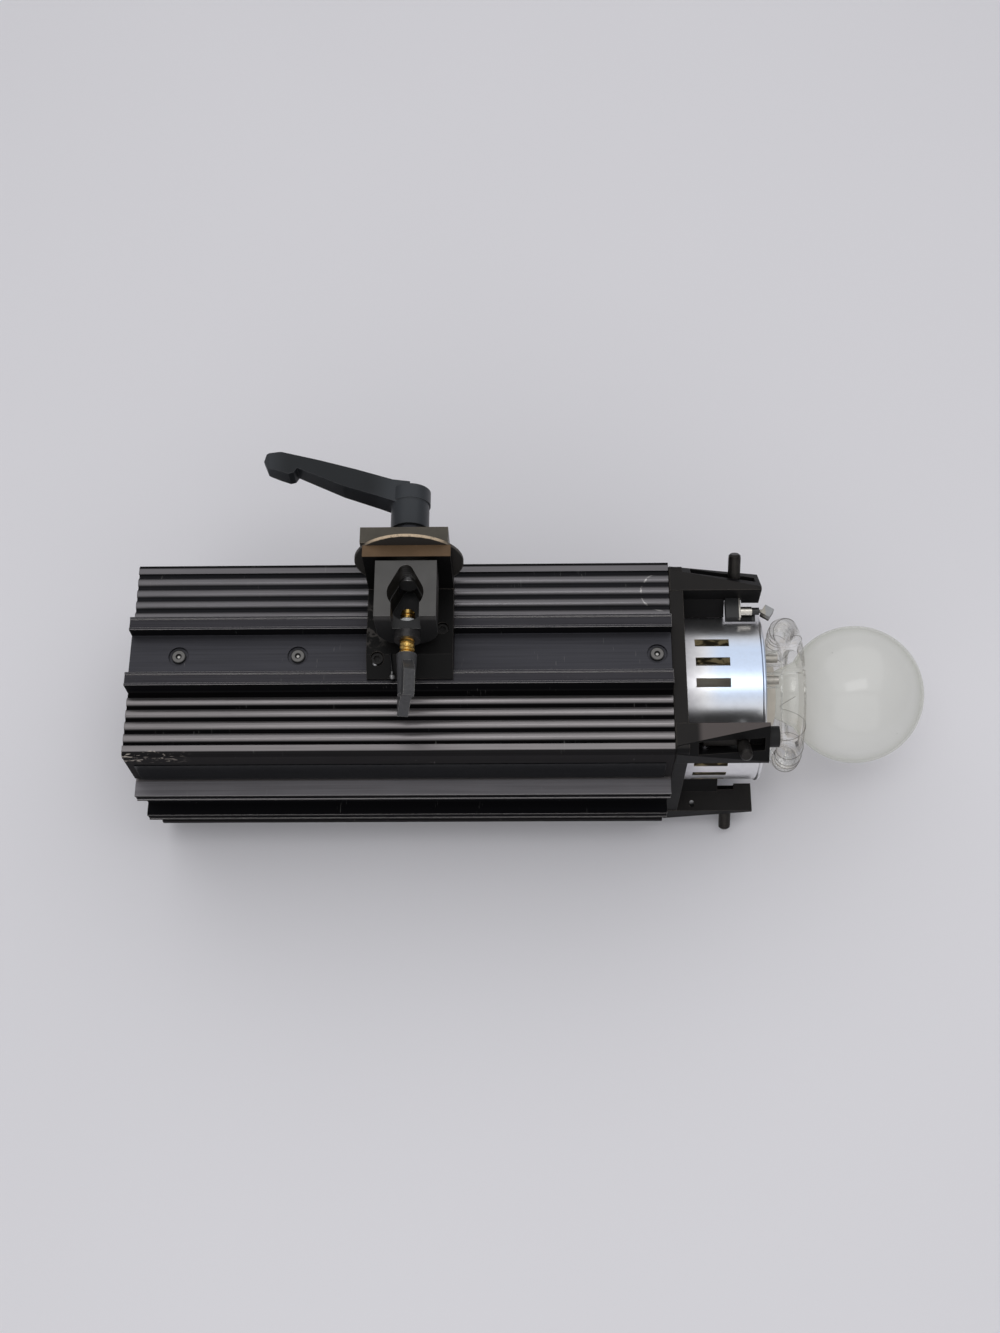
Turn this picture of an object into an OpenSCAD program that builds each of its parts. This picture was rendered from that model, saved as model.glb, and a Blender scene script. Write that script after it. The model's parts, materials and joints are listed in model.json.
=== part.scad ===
// Studio strobe: a finned, square flash head with a bare ring tube, a globe modelling lamp, four sprung
// accessory fingers and a tilting stand bracket. It lies bracket up, on the rails of its lower face.
// The origin is on the optical axis in the plane of the front bezel's face. +X points out of the front.

/* [Case] */
// Length of the extruded case
case_len = 299; // [270:1:330]
// Width of the square case over its fin tips
case_w = 116; // [114:1:122]
// Radius of the case's long corner edges
case_corner_r = 3; // [1:0.5:4]
// Thickness of the case wall, from the fin tips inwards
case_wall = 4.2; // [3.4:0.2:5]
// Depth of the cooling grooves
fin_depth = 1.8; // [1:0.1:2]
// Distance between cooling fins
fin_pitch = 7.1; // [6.8:0.1:7.6]
// Radius of a fin's rounded tip
fin_r = 3.1; // [2.8:0.1:3.2]
// Height of the long rails over the fin tips
rail_rise = 9.7; // [7:0.1:12]
// Width of a rail
rail_w = 7.8; // [6:0.2:9]
// Width of the channel between a pair of rails
channel_w = 25.4; // [22:0.2:28]
// Height of the channel's floor over the fin tips
channel_rise = 1.8; // [1:0.2:3]
// Width of the square corner boss that carries a tie rod
boss_w = 11; // [10:0.5:12]
// Thickness of the dark band plates on the smooth parts of the sides
band_t = 0.6; // [0.4:0.1:1]
// Width of the dark band plates
band_w = 21; // [14:1:24]

/* [Channel screws] */
// Diameter of a channel screw's head
channel_head_d = 8; // [6:0.5:9]
// Diameter of the recess round the head
channel_recess_d = 11; // [10:0.5:13]
// Distance from the rear of the case to the first screw
channel_first = 27; // [20:1:35]
// Distance between the screws' places
channel_step = 66; // [60:1:68]

/* [Front] */
// Thickness of the front bezel's plate
bezel_t = 7.4; // [6:0.2:9]
// Width of the square bezel plate
bezel_w = 113; // [110:0.5:114]
// Radius of the bezel plate's corners
bezel_corner_r = 4; // [2:0.5:6]
// Depth of the shadow gap between the case and the bezel plate
bezel_gap = 0.5; // [0.4:0.1:1]
// Length of the four corner arms
arm_len = 44.1; // [42:0.1:47]
// Width of a square corner arm
arm_w = 17; // [16.4:0.1:18]
// Angle at which an arm's outer edge is cut away towards its tip
arm_bevel = 8.77; // [6:0.1:9.5]
// Thickness of the web that joins each arm's root to the bezel, down to the can
web_t = 7; // [5:0.5:8]

/* [Accessory fingers] */
// Diameter of a finger's pin
pin_d = 6.8; // [5:0.2:7]
// Distance from the optical axis to a pin's tip
pin_reach = 85.8; // [82:0.2:88]
// Distance from the bezel's face to a pin
pin_x = 29.6; // [28:0.1:31]
// Thickness of a finger's lever
lever_t = 4; // [3.4:0.2:4.4]
// Width of a finger's lever
lever_w = 4.2; // [3.8:0.1:4.6]
// Diameter of a finger's axle
axle_d = 3; // [2:0.2:3.4]

/* [Lamp can] */
// Outer radius of the polished can
can_r = 48.5; // [46:0.5:49]
// Thickness of the can's wall
can_wall = 0.9; // [0.6:0.1:1.5]
// Distance from the bezel's face to the can's rim
can_len = 45; // [42:0.5:48]
// Length of a cooling slot in the can
slot_len = 19; // [14:0.5:24]
// Width of a cooling slot
slot_w = 5; // [3:0.2:6]
// Angle between neighbouring slots
slot_step = 14.5; // [11:0.5:17]
// Distance from the bezel's face to the slots
slot_x = 6.2; // [4:0.2:10]

/* [Lamp and flash tube] */
// Radius of the modelling lamp's globe
globe_r = 39.7; // [37:0.1:42]
// Length of the whole modelling lamp
lamp_len = 113; // [110:0.5:117]
// Distance from the bezel's face to the globe's tip
lamp_tip = 141.4; // [138:0.2:145]
// Radius of the modelling lamp's screw cap
cap_r = 13.2; // [12.8:0.1:13.4]
// Length of the modelling lamp's screw cap
cap_len = 26; // [22:0.5:28]
// Thickness of the lamp's and the flash tube's glass
glass_t = 1.2; // [0.8:0.1:1.5]
// Radius of the flash tube's ring, to the middle of the glass tube
ring_r = 37.5; // [36:0.1:39.5]
// Radius of the flash tube's glass
tube_r = 7.2; // [5:0.1:7.5]
// Radius of the flash tube's legs
leg_r = 4.6; // [3.6:0.1:5]
// Distance from the ring's gap to each leg
leg_y = 2; // [1.5:0.1:5]
// Distance from the bezel's face to the middle of the ring
ring_x = 61.1; // [58:0.1:64]

/* [Tilt bracket] */
// Distance from the rear of the case to the bracket's axis
bracket_at = 156; // [110:1:200]
// Width of the bracket along the case
bracket_w = 47; // [42:0.5:52]
// Thickness of the bracket's base
base_t = 8.3; // [7:0.1:9]
// Height of the tilt axis over the rail tips
axis_rise = 27.6; // [26:0.1:32]
// Height of the bracket's plates over the tilt axis
plate_rise = 19.7; // [16:0.1:24]
// Thickness of the bracket's upright plate
upright_t = 6.6; // [5:0.1:9]
// Distance from the optical axis plane to the upright plate
upright_y = 32.5; // [31:0.1:36]
// Diameter of the friction disc
disc_d = 59; // [48:0.5:60]
// Thickness of the friction disc
disc_t = 1.5; // [1:0.1:3]
// Thickness of the outer clamp plate
clamp_t = 9.3; // [6:0.1:12]
// Diameter of the tilt axis bolt
bolt_d = 8; // [6:0.5:9]

/* [Stand socket] */
// Width of the stand socket's body
socket_w = 32.6; // [30:0.2:34]
// Length of the stand socket's body across the case
socket_len = 32.4; // [31.4:0.1:33.2]
// Radius of the socket's round side
seat_r = 9.65; // [9:0.05:10.2]
// Radius of the socket's narrow side
apex_r = 4; // [3:0.1:5]
// Distance between the socket's round side and its narrow side
seat_gap = 12; // [11:0.1:13]
// Depth of the socket
seat_depth = 31; // [27:0.5:32]
// Width of the open slot in the socket's near wall
mouth_w = 15; // [12:0.5:16]

/* [Thumb screw] */
// Diameter of the thumb screw
thumb_d = 8; // [6:0.5:9]
// Distance between the tilt axis and the thumb screw
thumb_drop = 2; // [1:0.5:4]
// Travel that the screw still has inwards
thumb_in = 3.75; // [1:0.25:6]
// Travel that the screw has outwards
thumb_out = 8.75; // [6:0.25:9.5]
// Length of the screw past the socket's near wall
thumb_past = 10; // [8:0.5:13]
// Span of the wing knob
wing_span = 34; // [26:0.5:36]
// Thickness of the wing knob's blade
wing_t = 5.8; // [4:0.2:8]
// Length of the wing knob
wing_len = 29; // [24:0.5:34]
// Diameter of the wing knob's hub
wing_hub_d = 11; // [10:0.5:14]
// Angle at which the wing knob stands
wing_turn = 10; // [0:1:30]

/* [Clamp lever] */
// Diameter of the clamp lever's hub
hub_d = 21; // [19:0.5:24]
// Length of the collar under the lever
collar_len = 7.8; // [5:0.1:9]
// Diameter of the collar under the lever
collar_d = 18; // [16:0.5:19]
// Distance from the lever's hub to its tip
lever_reach = 82; // [70:1:95]
// Travel of the lever when it is lifted to turn it freely
lever_lift = 3.5; // [2:0.1:4]

/* [Rear panel] */
// Depth of the rear panel inside the case's rear edge
panel_recess = 10; // [8:0.5:14]
// Thickness of the rear panel
panel_t = 2.5; // [2:0.1:4]
// Travel of each slider
slider_travel = 40; // [30:1:42]
// Width of a rocker switch
rocker_w = 13; // [11:0.5:15]
// Height of a rocker switch
rocker_h = 19; // [17:0.5:21]
// Angle that a rocker switch turns through
rocker_turn = 16; // [10:1:18]
// Diameter of the test button
button_d = 9; // [7:0.5:12]
// Travel of the test button
button_travel = 1.5; // [1:0.1:2]
// Radius of the sync jack's bore
jack_bore_r = 3.2; // [3.1:0.05:3.3]

/* [Inside] */
// Diameter of a flash capacitor
capacitor_d = 46; // [40:0.5:46.5]
// Length of a flash capacitor
capacitor_len = 110; // [80:1:112]
// Distance from the rear of the case to the capacitors
capacitor_at = 155; // [150:1:158]
// Thickness of the circuit boards
board_t = 1.6; // [1.2:0.1:2]
// Thickness of the front chassis plate
chassis_t = 3; // [2:0.5:4]
// Diameter of a tie rod
rod_d = 4; // [3:0.2:4.4]

/* [Hidden] */
$fn = 48;

// Clearance between a moving piece and what it passes
gap = 0.3;
// Radial clearance of a running fit
fit = 0.05;
// Length by which a cut runs past the face that it opens
over = 1;

half = case_w / 2;
inner = half - case_wall;
rail_tip = half + rail_rise;
rail_in = channel_w / 2;
rail_out = rail_in + rail_w;
// Width of the black groove beside a rail
rail_groove = 2.3;
fin_first = rail_out + rail_groove + fin_r;
// Width of the flat land at a corner of the case
corner_land = 6.1;
fin_count = floor((half - corner_land - fin_first) / fin_pitch) + 1;
boss_c = inner - boss_w / 2;
case_front = -bezel_t - bezel_gap;
case_rear = case_front - case_len;
// Length of a tie rod's end in the front bezel
rod_in = 5;
// Width and height of the raised lips along a rail's tip
rail_lip = 1.3;
rail_dip = 0.6;
// Distance between the ends of the case and its dark bands
band_end = 4;
// Depth of the recess round a channel screw, and the screw's own sizes
channel_sunk = 1.4;
channel_head_t = 1.2;
channel_shank_r = 1.9;
channel_past = 3;

bracket_x = case_rear + bracket_at;
axis_z = rail_tip + axis_rise;
base_top = rail_tip + base_t;
plate_top = axis_z + plate_rise;
disc_y = upright_y + upright_t;
clamp_y = disc_y + disc_t + fit;
collar_y = clamp_y + clamp_t + fit;
hub_y = collar_y + collar_len + fit;
hub_r = hub_d / 2;
bolt_r = bolt_d / 2;
// Distance between the middle of the bracket and each of its two screws
bracket_screw_dx = 17.5;
bracket_screw_y = 8.6;
bracket_screw_r = 2;
bracket_head_r = 3.2;
bracket_head_h = 3.2;
// Depth of a screw head under the bracket's top
bracket_head_sunk = 1.2;
bracket_head_z = base_top - bracket_head_h - bracket_head_sunk;
// The bracket's front edge stands at front_y at its foot and slopes back to front_top_y
front_y = -18;
front_top_y = -6.8;
front_foot = 1;
nut_plate_t = 4;
nut_plate_half = 11.5;
// Shift of the outer clamp plate along the case
clamp_shift = 1.5;

// Places of the pieces that the arms and fingers share, in an arm's own frame: +Z points outwards
arm_in = bezel_w / 2 - arm_w + 0.5;
arm_mid = (arm_in + arm_w / 2) * sqrt(2);
arm_half_diagonal = arm_w / sqrt(2);
arm_cut = arm_mid + 8.2;
arm_back = 0.4 - bezel_t;
web_foot = can_r + 2 * gap;
web_top = arm_mid - arm_half_diagonal + web_t / 2 + over;
axle_x = 9;
axle_out = arm_mid - 3.1;
axle_r = axle_d / 2;
axle_len = 13.4;
spring_wall = 1.1;
lever_end = pin_x + 3.6;
// The pocket in an arm: a bay round the axle and its springs, a bay for the lever and a slot for the pin.
// Past pocket_through the lever's bay is open, because the lever swings out of it there
pocket_half = lever_w / 2 + 0.4;
bay_half = pocket_half + 2;
bay_end = 12.6;
bay_r = 3.1;
pocket_top = axle_out + lever_t / 2 + 0.4;
pocket_floor = axle_out - 5.6;
pocket_x = 5;
pocket_through = 24.5;
pocket_end = 41.5;
lever_bay_end = lever_end + 1;
web_end = pocket_through - gap;
pin_slot_floor = axle_out - 3.4;
pin_slot_half = pin_d / 2 + gap;

// Sizes of the stand socket. Its body stands over the middle of the bracket
socket_top = plate_top;
washer_t = 2.5;
socket_far = upright_y - washer_t - fit;
socket_near = socket_far - socket_len;
apex_wall = 2.6;
apex_y = socket_far - apex_wall - apex_r;
seat_y = apex_y - seat_gap;
seat_floor = socket_top - seat_depth;
knuckle_r = socket_w / 2;
thumb_z = axis_z - thumb_drop;
thumb_r = thumb_d / 2;
near_wall = seat_y - seat_r - socket_near;
bush_boss_len = 4.5;
bush_y = socket_near - bush_boss_len;
bush_r = 7;
bush_neck_r = bush_r - 1;
thumb_tip = seat_y - seat_r + thumb_past;
// The upper stretch of the seat is the wider one
seat_step_z = thumb_z + bush_r - 0.8;
seat_draft = 0.4;
wing_y = bush_y - thumb_out + 0.5;
bolt_head_r = 6;
bolt_head_t = 2.9;
bolt_head_y = socket_far - apex_wall - bolt_head_t + 0.4;
washer_r = 13;
// The tilt bolt ends inside the insert's collar, clear of the lever
bolt_past = -0.5;
cone_len = 3;
tip_chamfer = 1.5;
// Depth of the thumb screw in the wing knob
wing_grip = 8;
// The insert under the clamp lever, and what it holds
spigot_r = 6;
spigot_len = 9;
lever_screw_r = 1.75;
lever_screw_head_r = 4.6;
lever_screw_head_t = 3.4;
well_r = 5.2;
well_floor = 13;
lever_head_y = well_floor + 6;

// Places on the rear panel, seen from behind with the bracket up: [across, up]
panel_x = case_rear + panel_recess;
panel_in = panel_x + panel_t;
panel_half = inner - gap;
inlet_at = [24, 33];
inlet_w = 27;
inlet_h = 20;
fuse_at = [0, 33];
power_at = [-26, 33];
lamp_switch_at = [0, 6];
recycle_at = [0, -21];
flash_slider_at = [-28, -9];
lamp_slider_at = [28, -9];
button_at = [12, -43];
ready_at = [-2, -43];
sensor_at = [-18, -43];
jack_at = [32, -44];
slot_half = 1.6;
knob_w = 10;
knob_h = 8;
knob_t = 6;
knob_scoop_r = 4.6;
knob_scoop_c = 3.2;
stem_half = 1.2;
rocker_t = 6;
rocker_nose = 2.2;
rocker_valley = 1.3;
rocker_pin_r = 1;
frame_edge = 1.6;
frame_lip = 1;
frame_lip_t = 1.2;
frame_depth = 14;
// Room at each end of a slider's slot
slot_spare = 1;
pot_w = 9;
pot_depth = 7;
pot_end = 6;
board_x = panel_in + 22;
rod_head = 1.6;
rod_head_t = 2.6;
standoff_y = inner - boss_w - rod_head - 4.2;
standoff_z = [-26, 16];
standoff_r = 3;
board_hole_r = 1.6;
button_r = button_d / 2;
button_proud = 3;
button_collar = 1;
inlet_lip = 2;
inlet_depth = 16;
inlet_wall = 1.5;
inlet_pin_step = 7;
fuse_r = 6;
fuse_cap = 1.5;
fuse_proud = 5;
fuse_len = 18;
ready_r = 2.5;
sensor_r = 5;
sensor_collar = 1.5;
jack_wall = 1.8;
jack_nut_r = jack_bore_r + 4.4;
jack_proud = 2.2;
jack_depth = 17;
jack_body = 14;

capacitor_x = case_rear + capacitor_at;
capacitor_r = min(capacitor_d, 0.864 * inner) / 2;
capacitor_c = capacitor_r + 1.6;
capacitor_can_r = capacitor_r - 0.6;
// The charging choke and the rectifiers' heatsink on the power board
choke_len = 0.63 * inner;
choke_y = -0.56 * inner;
choke_h = 0.78 * inner;
coil_out = 0.11 * inner;
coil_inset = 7;
coil_z = 9;
sink_y = 0.335 * inner;
sink_t = 4;
sink_len = 0.93 * inner;
sink_h = 0.855 * inner;
sink_fin_len = 0.22 * inner;
sink_fin_t = 2;
sink_fins = 5;
clamp_plate_t = 3;
clamp_inset = 12;
tray_z = -inner + 6;
can_in = can_r - can_wall;
rim_r = 1.1;
socket_r = 18;
socket_front = 54;
socket_flange_r = 28;
socket_flange_t = 4;
// Width of the lip that closes the can's rear end round the lamp socket
can_lip = 5;
// The trigger transformer stands beside the lamp socket, under the can's floor
transformer_in = socket_flange_r + 1;
transformer_out = can_in - can_lip - 2.6;
transformer_w = 20;
transformer_len = 22;
cap_x = lamp_tip - lamp_len;
globe_x = lamp_tip - globe_r;
neck_x = cap_x + cap_len;
floor_x = 38;
floor_t = 4;
gap_angle = asin(leg_y / ring_r);
leg_c = leg_y + leg_r;
leg_z = sqrt(pow(ring_r, 2) - pow(leg_c, 2));
leg_back = floor_x - 4;
// The globe's shell narrows to the cap in a cone that meets it at this radius
throat_r = 20;
throat_x = globe_x - sqrt(pow(globe_r, 2) - pow(throat_r, 2));
rod_clear = 0.3;
// Pieces of the terminal on the far upper arm
lug_x = 24.6;
lug_len = 7.4;
lug_h = 5;
lug_in = arm_in - 12;
strip_len = 16.9;
strip_w = 7;
strip_t = 1.2;
strip_z = sqrt(pow(can_r, 2) - pow(lug_in, 2)) + 0.8;
ferrule_r = 2.6;
ferrule_len = 7.4;
sleeve_r = 2.1;
sleeve_len = 4.2;
wire_r = 1;
wire_len = 3;
tip_side = 5.6;
tip_tilt = -32;
bumper_r = 5.8;
bumper_len = 5.6;

// A profile in the plane across the case, drawn out along the optical axis
module along_x(x0, len) {
    translate([x0, 0, 0]) rotate([90, 0, 90]) linear_extrude(len) children();
}

module rod_x(r, x0, len, y = 0, z = 0) {
    translate([x0, y, z]) rotate([0, 90, 0]) cylinder(r = r, h = len);
}

module rod_y(r, y0, len, x = 0, z = 0) {
    translate([x, y0, z]) rotate([-90, 0, 0]) cylinder(r = r, h = len);
}

module rod_z(r, z0, len, x = 0, y = 0) {
    translate([x, y, z0]) cylinder(r = r, h = len);
}

module block(x0, x1, y0, y1, z0, z1) {
    translate([x0, y0, z0]) cube([x1 - x0, y1 - y0, z1 - z0]);
}

// A square with round corners, as a profile
module round_square(h, r) {
    square([2 * h - 2 * r, 2 * h], center = true);
    square([2 * h, 2 * h - 2 * r], center = true);
    for (y = [-1, 1], z = [-1, 1]) translate([y * (h - r), z * (h - r)]) circle(r);
}

module four_corners(c) {
    for (y = [-1, 1], z = [-1, 1]) translate([0, y * c, z * c]) children();
}

// The fins of one side of a face, from the rail to the corner land
module fins(side) {
    for (k = [0 : fin_count - 1]) {
        translate([side * (fin_first + k * fin_pitch), half - fin_r]) circle(fin_r);
    }
}

module rails() {
    floor_y = half + channel_rise;
    translate([-rail_in, inner]) square([channel_w, floor_y - inner]);
    for (side = [-1, 1]) difference() {
        translate([side * (rail_in + rail_w / 2) - rail_w / 2, inner]) square([rail_w, rail_tip - inner]);
        translate([side * (rail_in + rail_w / 2) - rail_w / 2 + rail_lip, rail_tip - rail_dip])
            square([rail_w - 2 * rail_lip, rail_dip + over]);
    }
}

// The smooth part of a side, which holds the dark band
module smooth_side(side) {
    start = rail_out + rail_groove;
    x0 = side > 0 ? start : -(half - corner_land);
    translate([x0, inner]) square([half - corner_land - start, half - inner]);
}

module case_profile() {
    round_square(half - fin_depth, 1);
    for (y = [-1, 1], z = [-1, 1]) {
        translate([y * (half - case_corner_r), z * (half - case_corner_r)]) circle(case_corner_r);
        for (turned = [0, 1]) {
            long = corner_land - (turned ? case_corner_r : 0);
            tall = corner_land - (turned ? 0 : case_corner_r);
            near_y = half - corner_land;
            translate([y > 0 ? near_y : -near_y - long, z > 0 ? near_y : -near_y - tall])
                square([long, tall]);
        }
    }
    for (face = [0 : 3]) rotate(90 * face) {
        rails();
        if (face == 1) { fins(-1); smooth_side(1); }
        else if (face == 3) { fins(1); smooth_side(-1); }
        else { fins(-1); fins(1); }
    }
}

module case_shell() color("#2c2c2f") difference() {
    along_x(case_rear, case_len) case_profile();
    difference() {
        along_x(case_rear - over, case_len + 2 * over) round_square(inner, 2);
        for (y = [-1, 1], z = [-1, 1]) {
            translate([panel_in, y * boss_c - boss_w / 2, z * boss_c - boss_w / 2])
                cube([case_front - chassis_t - panel_in, boss_w, boss_w]);
        }
    }
    four_corners(boss_c) rod_x(rod_d / 2 + rod_clear, case_rear - over, case_len + 2 * over);
    for (k = [0, 1, 2, 4]) translate([case_rear + channel_first + k * channel_step, 0, 0]) {
        rod_z(channel_recess_d / 2, half + channel_rise - channel_sunk, over + channel_sunk);
        rod_z(channel_shank_r + fit, inner - over, 2 * case_wall);
    }
    for (s = [-1, 1]) {
        rod_z(bracket_screw_r + gap, inner - over, 3 * case_wall, bracket_x + s * bracket_screw_dx,
            s * bracket_screw_y);
    }
}

// Bare glossy plates on the smooth parts of the two sides, where a name would be
module band_plates() color("#0d0d10") {
    band_z = rail_out + rail_groove + gap;
    for (side = [-1, 1]) {
        y0 = side > 0 ? half : -half - band_t;
        block(case_rear + band_end, case_front - band_end, y0, y0 + band_t, band_z, band_z + band_w);
    }
}

module channel_screws() color("#55565a") {
    head_z = half + channel_rise - channel_sunk;
    head_r = channel_head_d / 2;
    for (k = [0, 1, 2, 4]) translate([case_rear + channel_first + k * channel_step, 0, 0]) difference() {
        union() {
            rod_z(head_r, head_z, channel_head_t);
            rod_z(channel_shank_r, inner - channel_past, head_z - inner + channel_past);
        }
        translate([0, 0, head_z + channel_head_t / 4])
            cylinder(r = head_r * 0.42, h = channel_head_t, $fn = 6);
    }
}

// One arm in its own frame, before its pocket is cut
module arm_solid() {
    difference() {
        along_x(arm_back, arm_len - arm_back) polygon([
            [0, arm_mid - arm_half_diagonal], [arm_half_diagonal, arm_mid],
            [0, arm_mid + arm_half_diagonal], [-arm_half_diagonal, arm_mid]
        ]);
        translate([0, 0, arm_cut]) rotate([0, arm_bevel, 0]) translate([-arm_len, -arm_w, 0])
            cube([3 * arm_len, 2 * arm_w, arm_w]);
    }
}

// The web under an arm's root closes the gap between the arm and the can
module arm_web() {
    block(-bezel_t / 2, web_end, -web_t / 2, web_t / 2, web_foot, web_top);
}

module arm_pocket() {
    block(pocket_x, bay_end, -bay_half, bay_half, axle_out - bay_r, axle_out + bay_r);
    block(pocket_x, lever_bay_end, -pocket_half, pocket_half, pocket_floor, pocket_top);
    block(pocket_through, lever_bay_end, -pocket_half, pocket_half, can_r + over, pocket_floor + over);
    block(pocket_x, pocket_end, -pin_slot_half, pin_slot_half, pin_slot_floor, arm_cut + arm_w);
    rod_y(axle_r + fit, -axle_len / 2 - fit, axle_len / 2 + arm_w, axle_x, axle_out);
}

// The four arms stand at the corners of the bezel
module at_arms() {
    for (k = [0 : 3]) rotate([45 + 90 * k, 0, 0]) children();
}

module front_bezel() color("#46464a") difference() {
    union() {
        along_x(-bezel_t, bezel_t) round_square(bezel_w / 2, bezel_corner_r);
        along_x(case_front, bezel_gap + over) round_square(bezel_w / 2 - 1.5, bezel_corner_r);
        at_arms() arm_solid();
        at_arms() arm_web();
    }
    rod_x(can_r + gap, case_front - over, bezel_t + bezel_gap + 2 * over);
    at_arms() arm_pocket();
    four_corners(boss_c) rod_x(rod_d / 2 + fit, case_front - over, rod_in + 2 * over);
}

module tie_rods() color("#8a8b8f") {
    four_corners(boss_c) {
        rod_x(rod_d / 2, panel_x, case_front + rod_in - panel_x);
        difference() {
            rod_x(rod_d / 2 + rod_head, panel_x - rod_head_t, rod_head_t);
            translate([panel_x - rod_head_t - over, 0, 0]) rotate([0, 90, 0])
                cylinder(r = rod_d * 0.4, h = over + rod_head_t / 2, $fn = 6);
        }
    }
}

// A cut through the rear panel at a place on it
module panel_window(at, w, h) {
    block(panel_x - over, panel_in + over, at[0] - w / 2, at[0] + w / 2, at[1] - h / 2, at[1] + h / 2);
}

module panel_hole(at, r) {
    rod_x(r, panel_x - over, panel_t + 2 * over, at[0], at[1]);
}

module rear_panel() color("#303034") difference() {
    along_x(panel_x, panel_t) round_square(panel_half, 2);
    four_corners(boss_c) rod_x(rod_d / 2 + rod_clear, panel_x - over, panel_t + 2 * over);
    panel_window(inlet_at, inlet_w, inlet_h);
    for (at = [power_at, lamp_switch_at, recycle_at]) {
        panel_window(at, rocker_w + 2 * frame_edge, rocker_h + 2 * frame_edge);
    }
    for (at = [flash_slider_at, lamp_slider_at]) {
        panel_window(at, 2 * slot_half, slider_travel + 2 * stem_half + 2 * slot_spare);
    }
    panel_hole(fuse_at, fuse_r + fit);
    panel_hole(button_at, button_r + gap);
    panel_hole(ready_at, ready_r + fit);
    panel_hole(sensor_at, sensor_r + fit);
    panel_hole(jack_at, jack_bore_r + jack_wall + fit);
}

module mains_inlet() color("#1b1b1d") translate([0, inlet_at[0], inlet_at[1]]) {
    w = inlet_w / 2;
    h = inlet_h / 2;
    back = panel_x + inlet_depth;
    difference() {
        union() {
            block(panel_x - inlet_lip, panel_x, -w - inlet_lip, w + inlet_lip, -h - inlet_lip, h + inlet_lip);
            block(panel_x - over, back + 2 * inlet_wall, -w, w, -h, h);
        }
        block(panel_x - inlet_lip - over, back, inlet_wall - w, w - inlet_wall,
            inlet_wall - h, h - inlet_wall);
    }
    // The middle pin stands lower than the outer two
    for (k = [-1 : 1]) {
        pin_z = abs(k) * 3 - 3;
        block(panel_x + inlet_lip, back, k * inlet_pin_step - 2, k * inlet_pin_step + 2, pin_z, pin_z + 2);
    }
}

module fuse_holder() color("#1b1b1d") {
    rod_x(fuse_r + fuse_cap, panel_x - fuse_proud, fuse_proud, fuse_at[0], fuse_at[1]);
    rod_x(fuse_r, panel_x, fuse_len, fuse_at[0], fuse_at[1]);
}

module rocker_frame(at) {
    w = rocker_w / 2 + frame_edge;
    h = rocker_h / 2 + frame_edge;
    room = [frame_depth, rocker_w + 2 * gap, rocker_h + 2 * gap];
    translate([0, at[0], at[1]]) difference() {
        union() {
            block(panel_x - frame_lip_t, panel_x, -w - frame_lip, w + frame_lip,
                -h - frame_lip, h + frame_lip);
            block(panel_x, panel_x + frame_depth, -w, w, -h, h);
        }
        translate([panel_x - frame_edge, -room[1] / 2, -room[2] / 2]) cube(room);
        rod_y(rocker_pin_r, -w - over, 2 * w + 2 * over, panel_x + rocker_t);
    }
}

module rocker_frames() color("#1b1b1d") {
    for (at = [power_at, lamp_switch_at, recycle_at]) rocker_frame(at);
}

// A rocker with two sloping faces, which stands turned to one side and rocks about a pin through it
module rocker(at) {
    slope = rocker_turn / 2;
    r = rocker_h / 2;
    face_x = -rocker_t - rocker_nose;
    translate([panel_x + rocker_t, at[0], at[1]]) {
        rotate([0, slope, 0]) difference() {
            intersection() {
                block(face_x, rocker_t / 2, -rocker_w / 2, rocker_w / 2, over - r, r - over);
                rod_y(r, -rocker_w, 2 * rocker_w);
            }
            for (s = [-1, 1]) translate([face_x + rocker_valley, 0, 0]) rotate([0, -s * slope, 0])
                translate([-rocker_t, -rocker_w, s > 0 ? 0 : -rocker_h])
                    cube([rocker_t, 2 * rocker_w, rocker_h]);
        }
        rod_y(rocker_pin_r - fit, -rocker_w / 2 - frame_edge, rocker_w + 2 * frame_edge);
    }
}

module power_rocker() color("#b03028") rocker(power_at);

module lamp_rocker() color("#222225") rocker(lamp_switch_at);

module recycle_rocker() color("#222225") rocker(recycle_at);

module slider_pot(at) {
    w = pot_w / 2;
    h = slider_travel / 2 + pot_end;
    room_h = slider_travel / 2 + pot_end / 2;
    translate([0, at[0], at[1]]) {
        difference() {
            block(panel_in + over, panel_in + over + pot_depth, -w, w, -h, h);
            block(panel_in, panel_in + pot_depth - over, -slot_half, slot_half, -room_h, room_h);
        }
        // Feet that hold the slider's body to the back of the panel
        for (s = [-1, 1]) block(panel_in, panel_in + over, -w, w, s * (h - 1) - 1, s * (h - 1) + 1);
    }
}

module slider_pots() color("#77787c") {
    for (at = [flash_slider_at, lamp_slider_at]) slider_pot(at);
}

// A knob that stands in the middle of its slot
module slider_knob(at) {
    translate([0, at[0], at[1]]) {
        difference() {
            block(panel_x - gap - knob_t, panel_x - gap, -knob_w / 2, knob_w / 2, -knob_h / 2, knob_h / 2);
            for (s = [-1, 1]) translate([panel_x - gap - knob_t, 0, s * (knob_h / 2 + knob_scoop_c)])
                rotate([90, 0, 0]) cylinder(r = knob_scoop_r, h = knob_w + over, center = true);
        }
        block(panel_x - gap, panel_in + pot_depth - 2 * over, -stem_half, stem_half, -stem_half, stem_half);
    }
}

module flash_slider() color("#d8d8d8") slider_knob(flash_slider_at);

module lamp_slider() color("#d8d8d8") slider_knob(lamp_slider_at);

module test_button() color("#a8322a") {
    rod_x(button_r, panel_x - button_proud, button_proud + panel_t + over, button_at[0], button_at[1]);
    rod_x(button_r + button_collar, panel_in + gap, button_travel, button_at[0], button_at[1]);
    rod_x(button_r / 2, panel_in, 3 * button_proud, button_at[0], button_at[1]);
}

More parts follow.
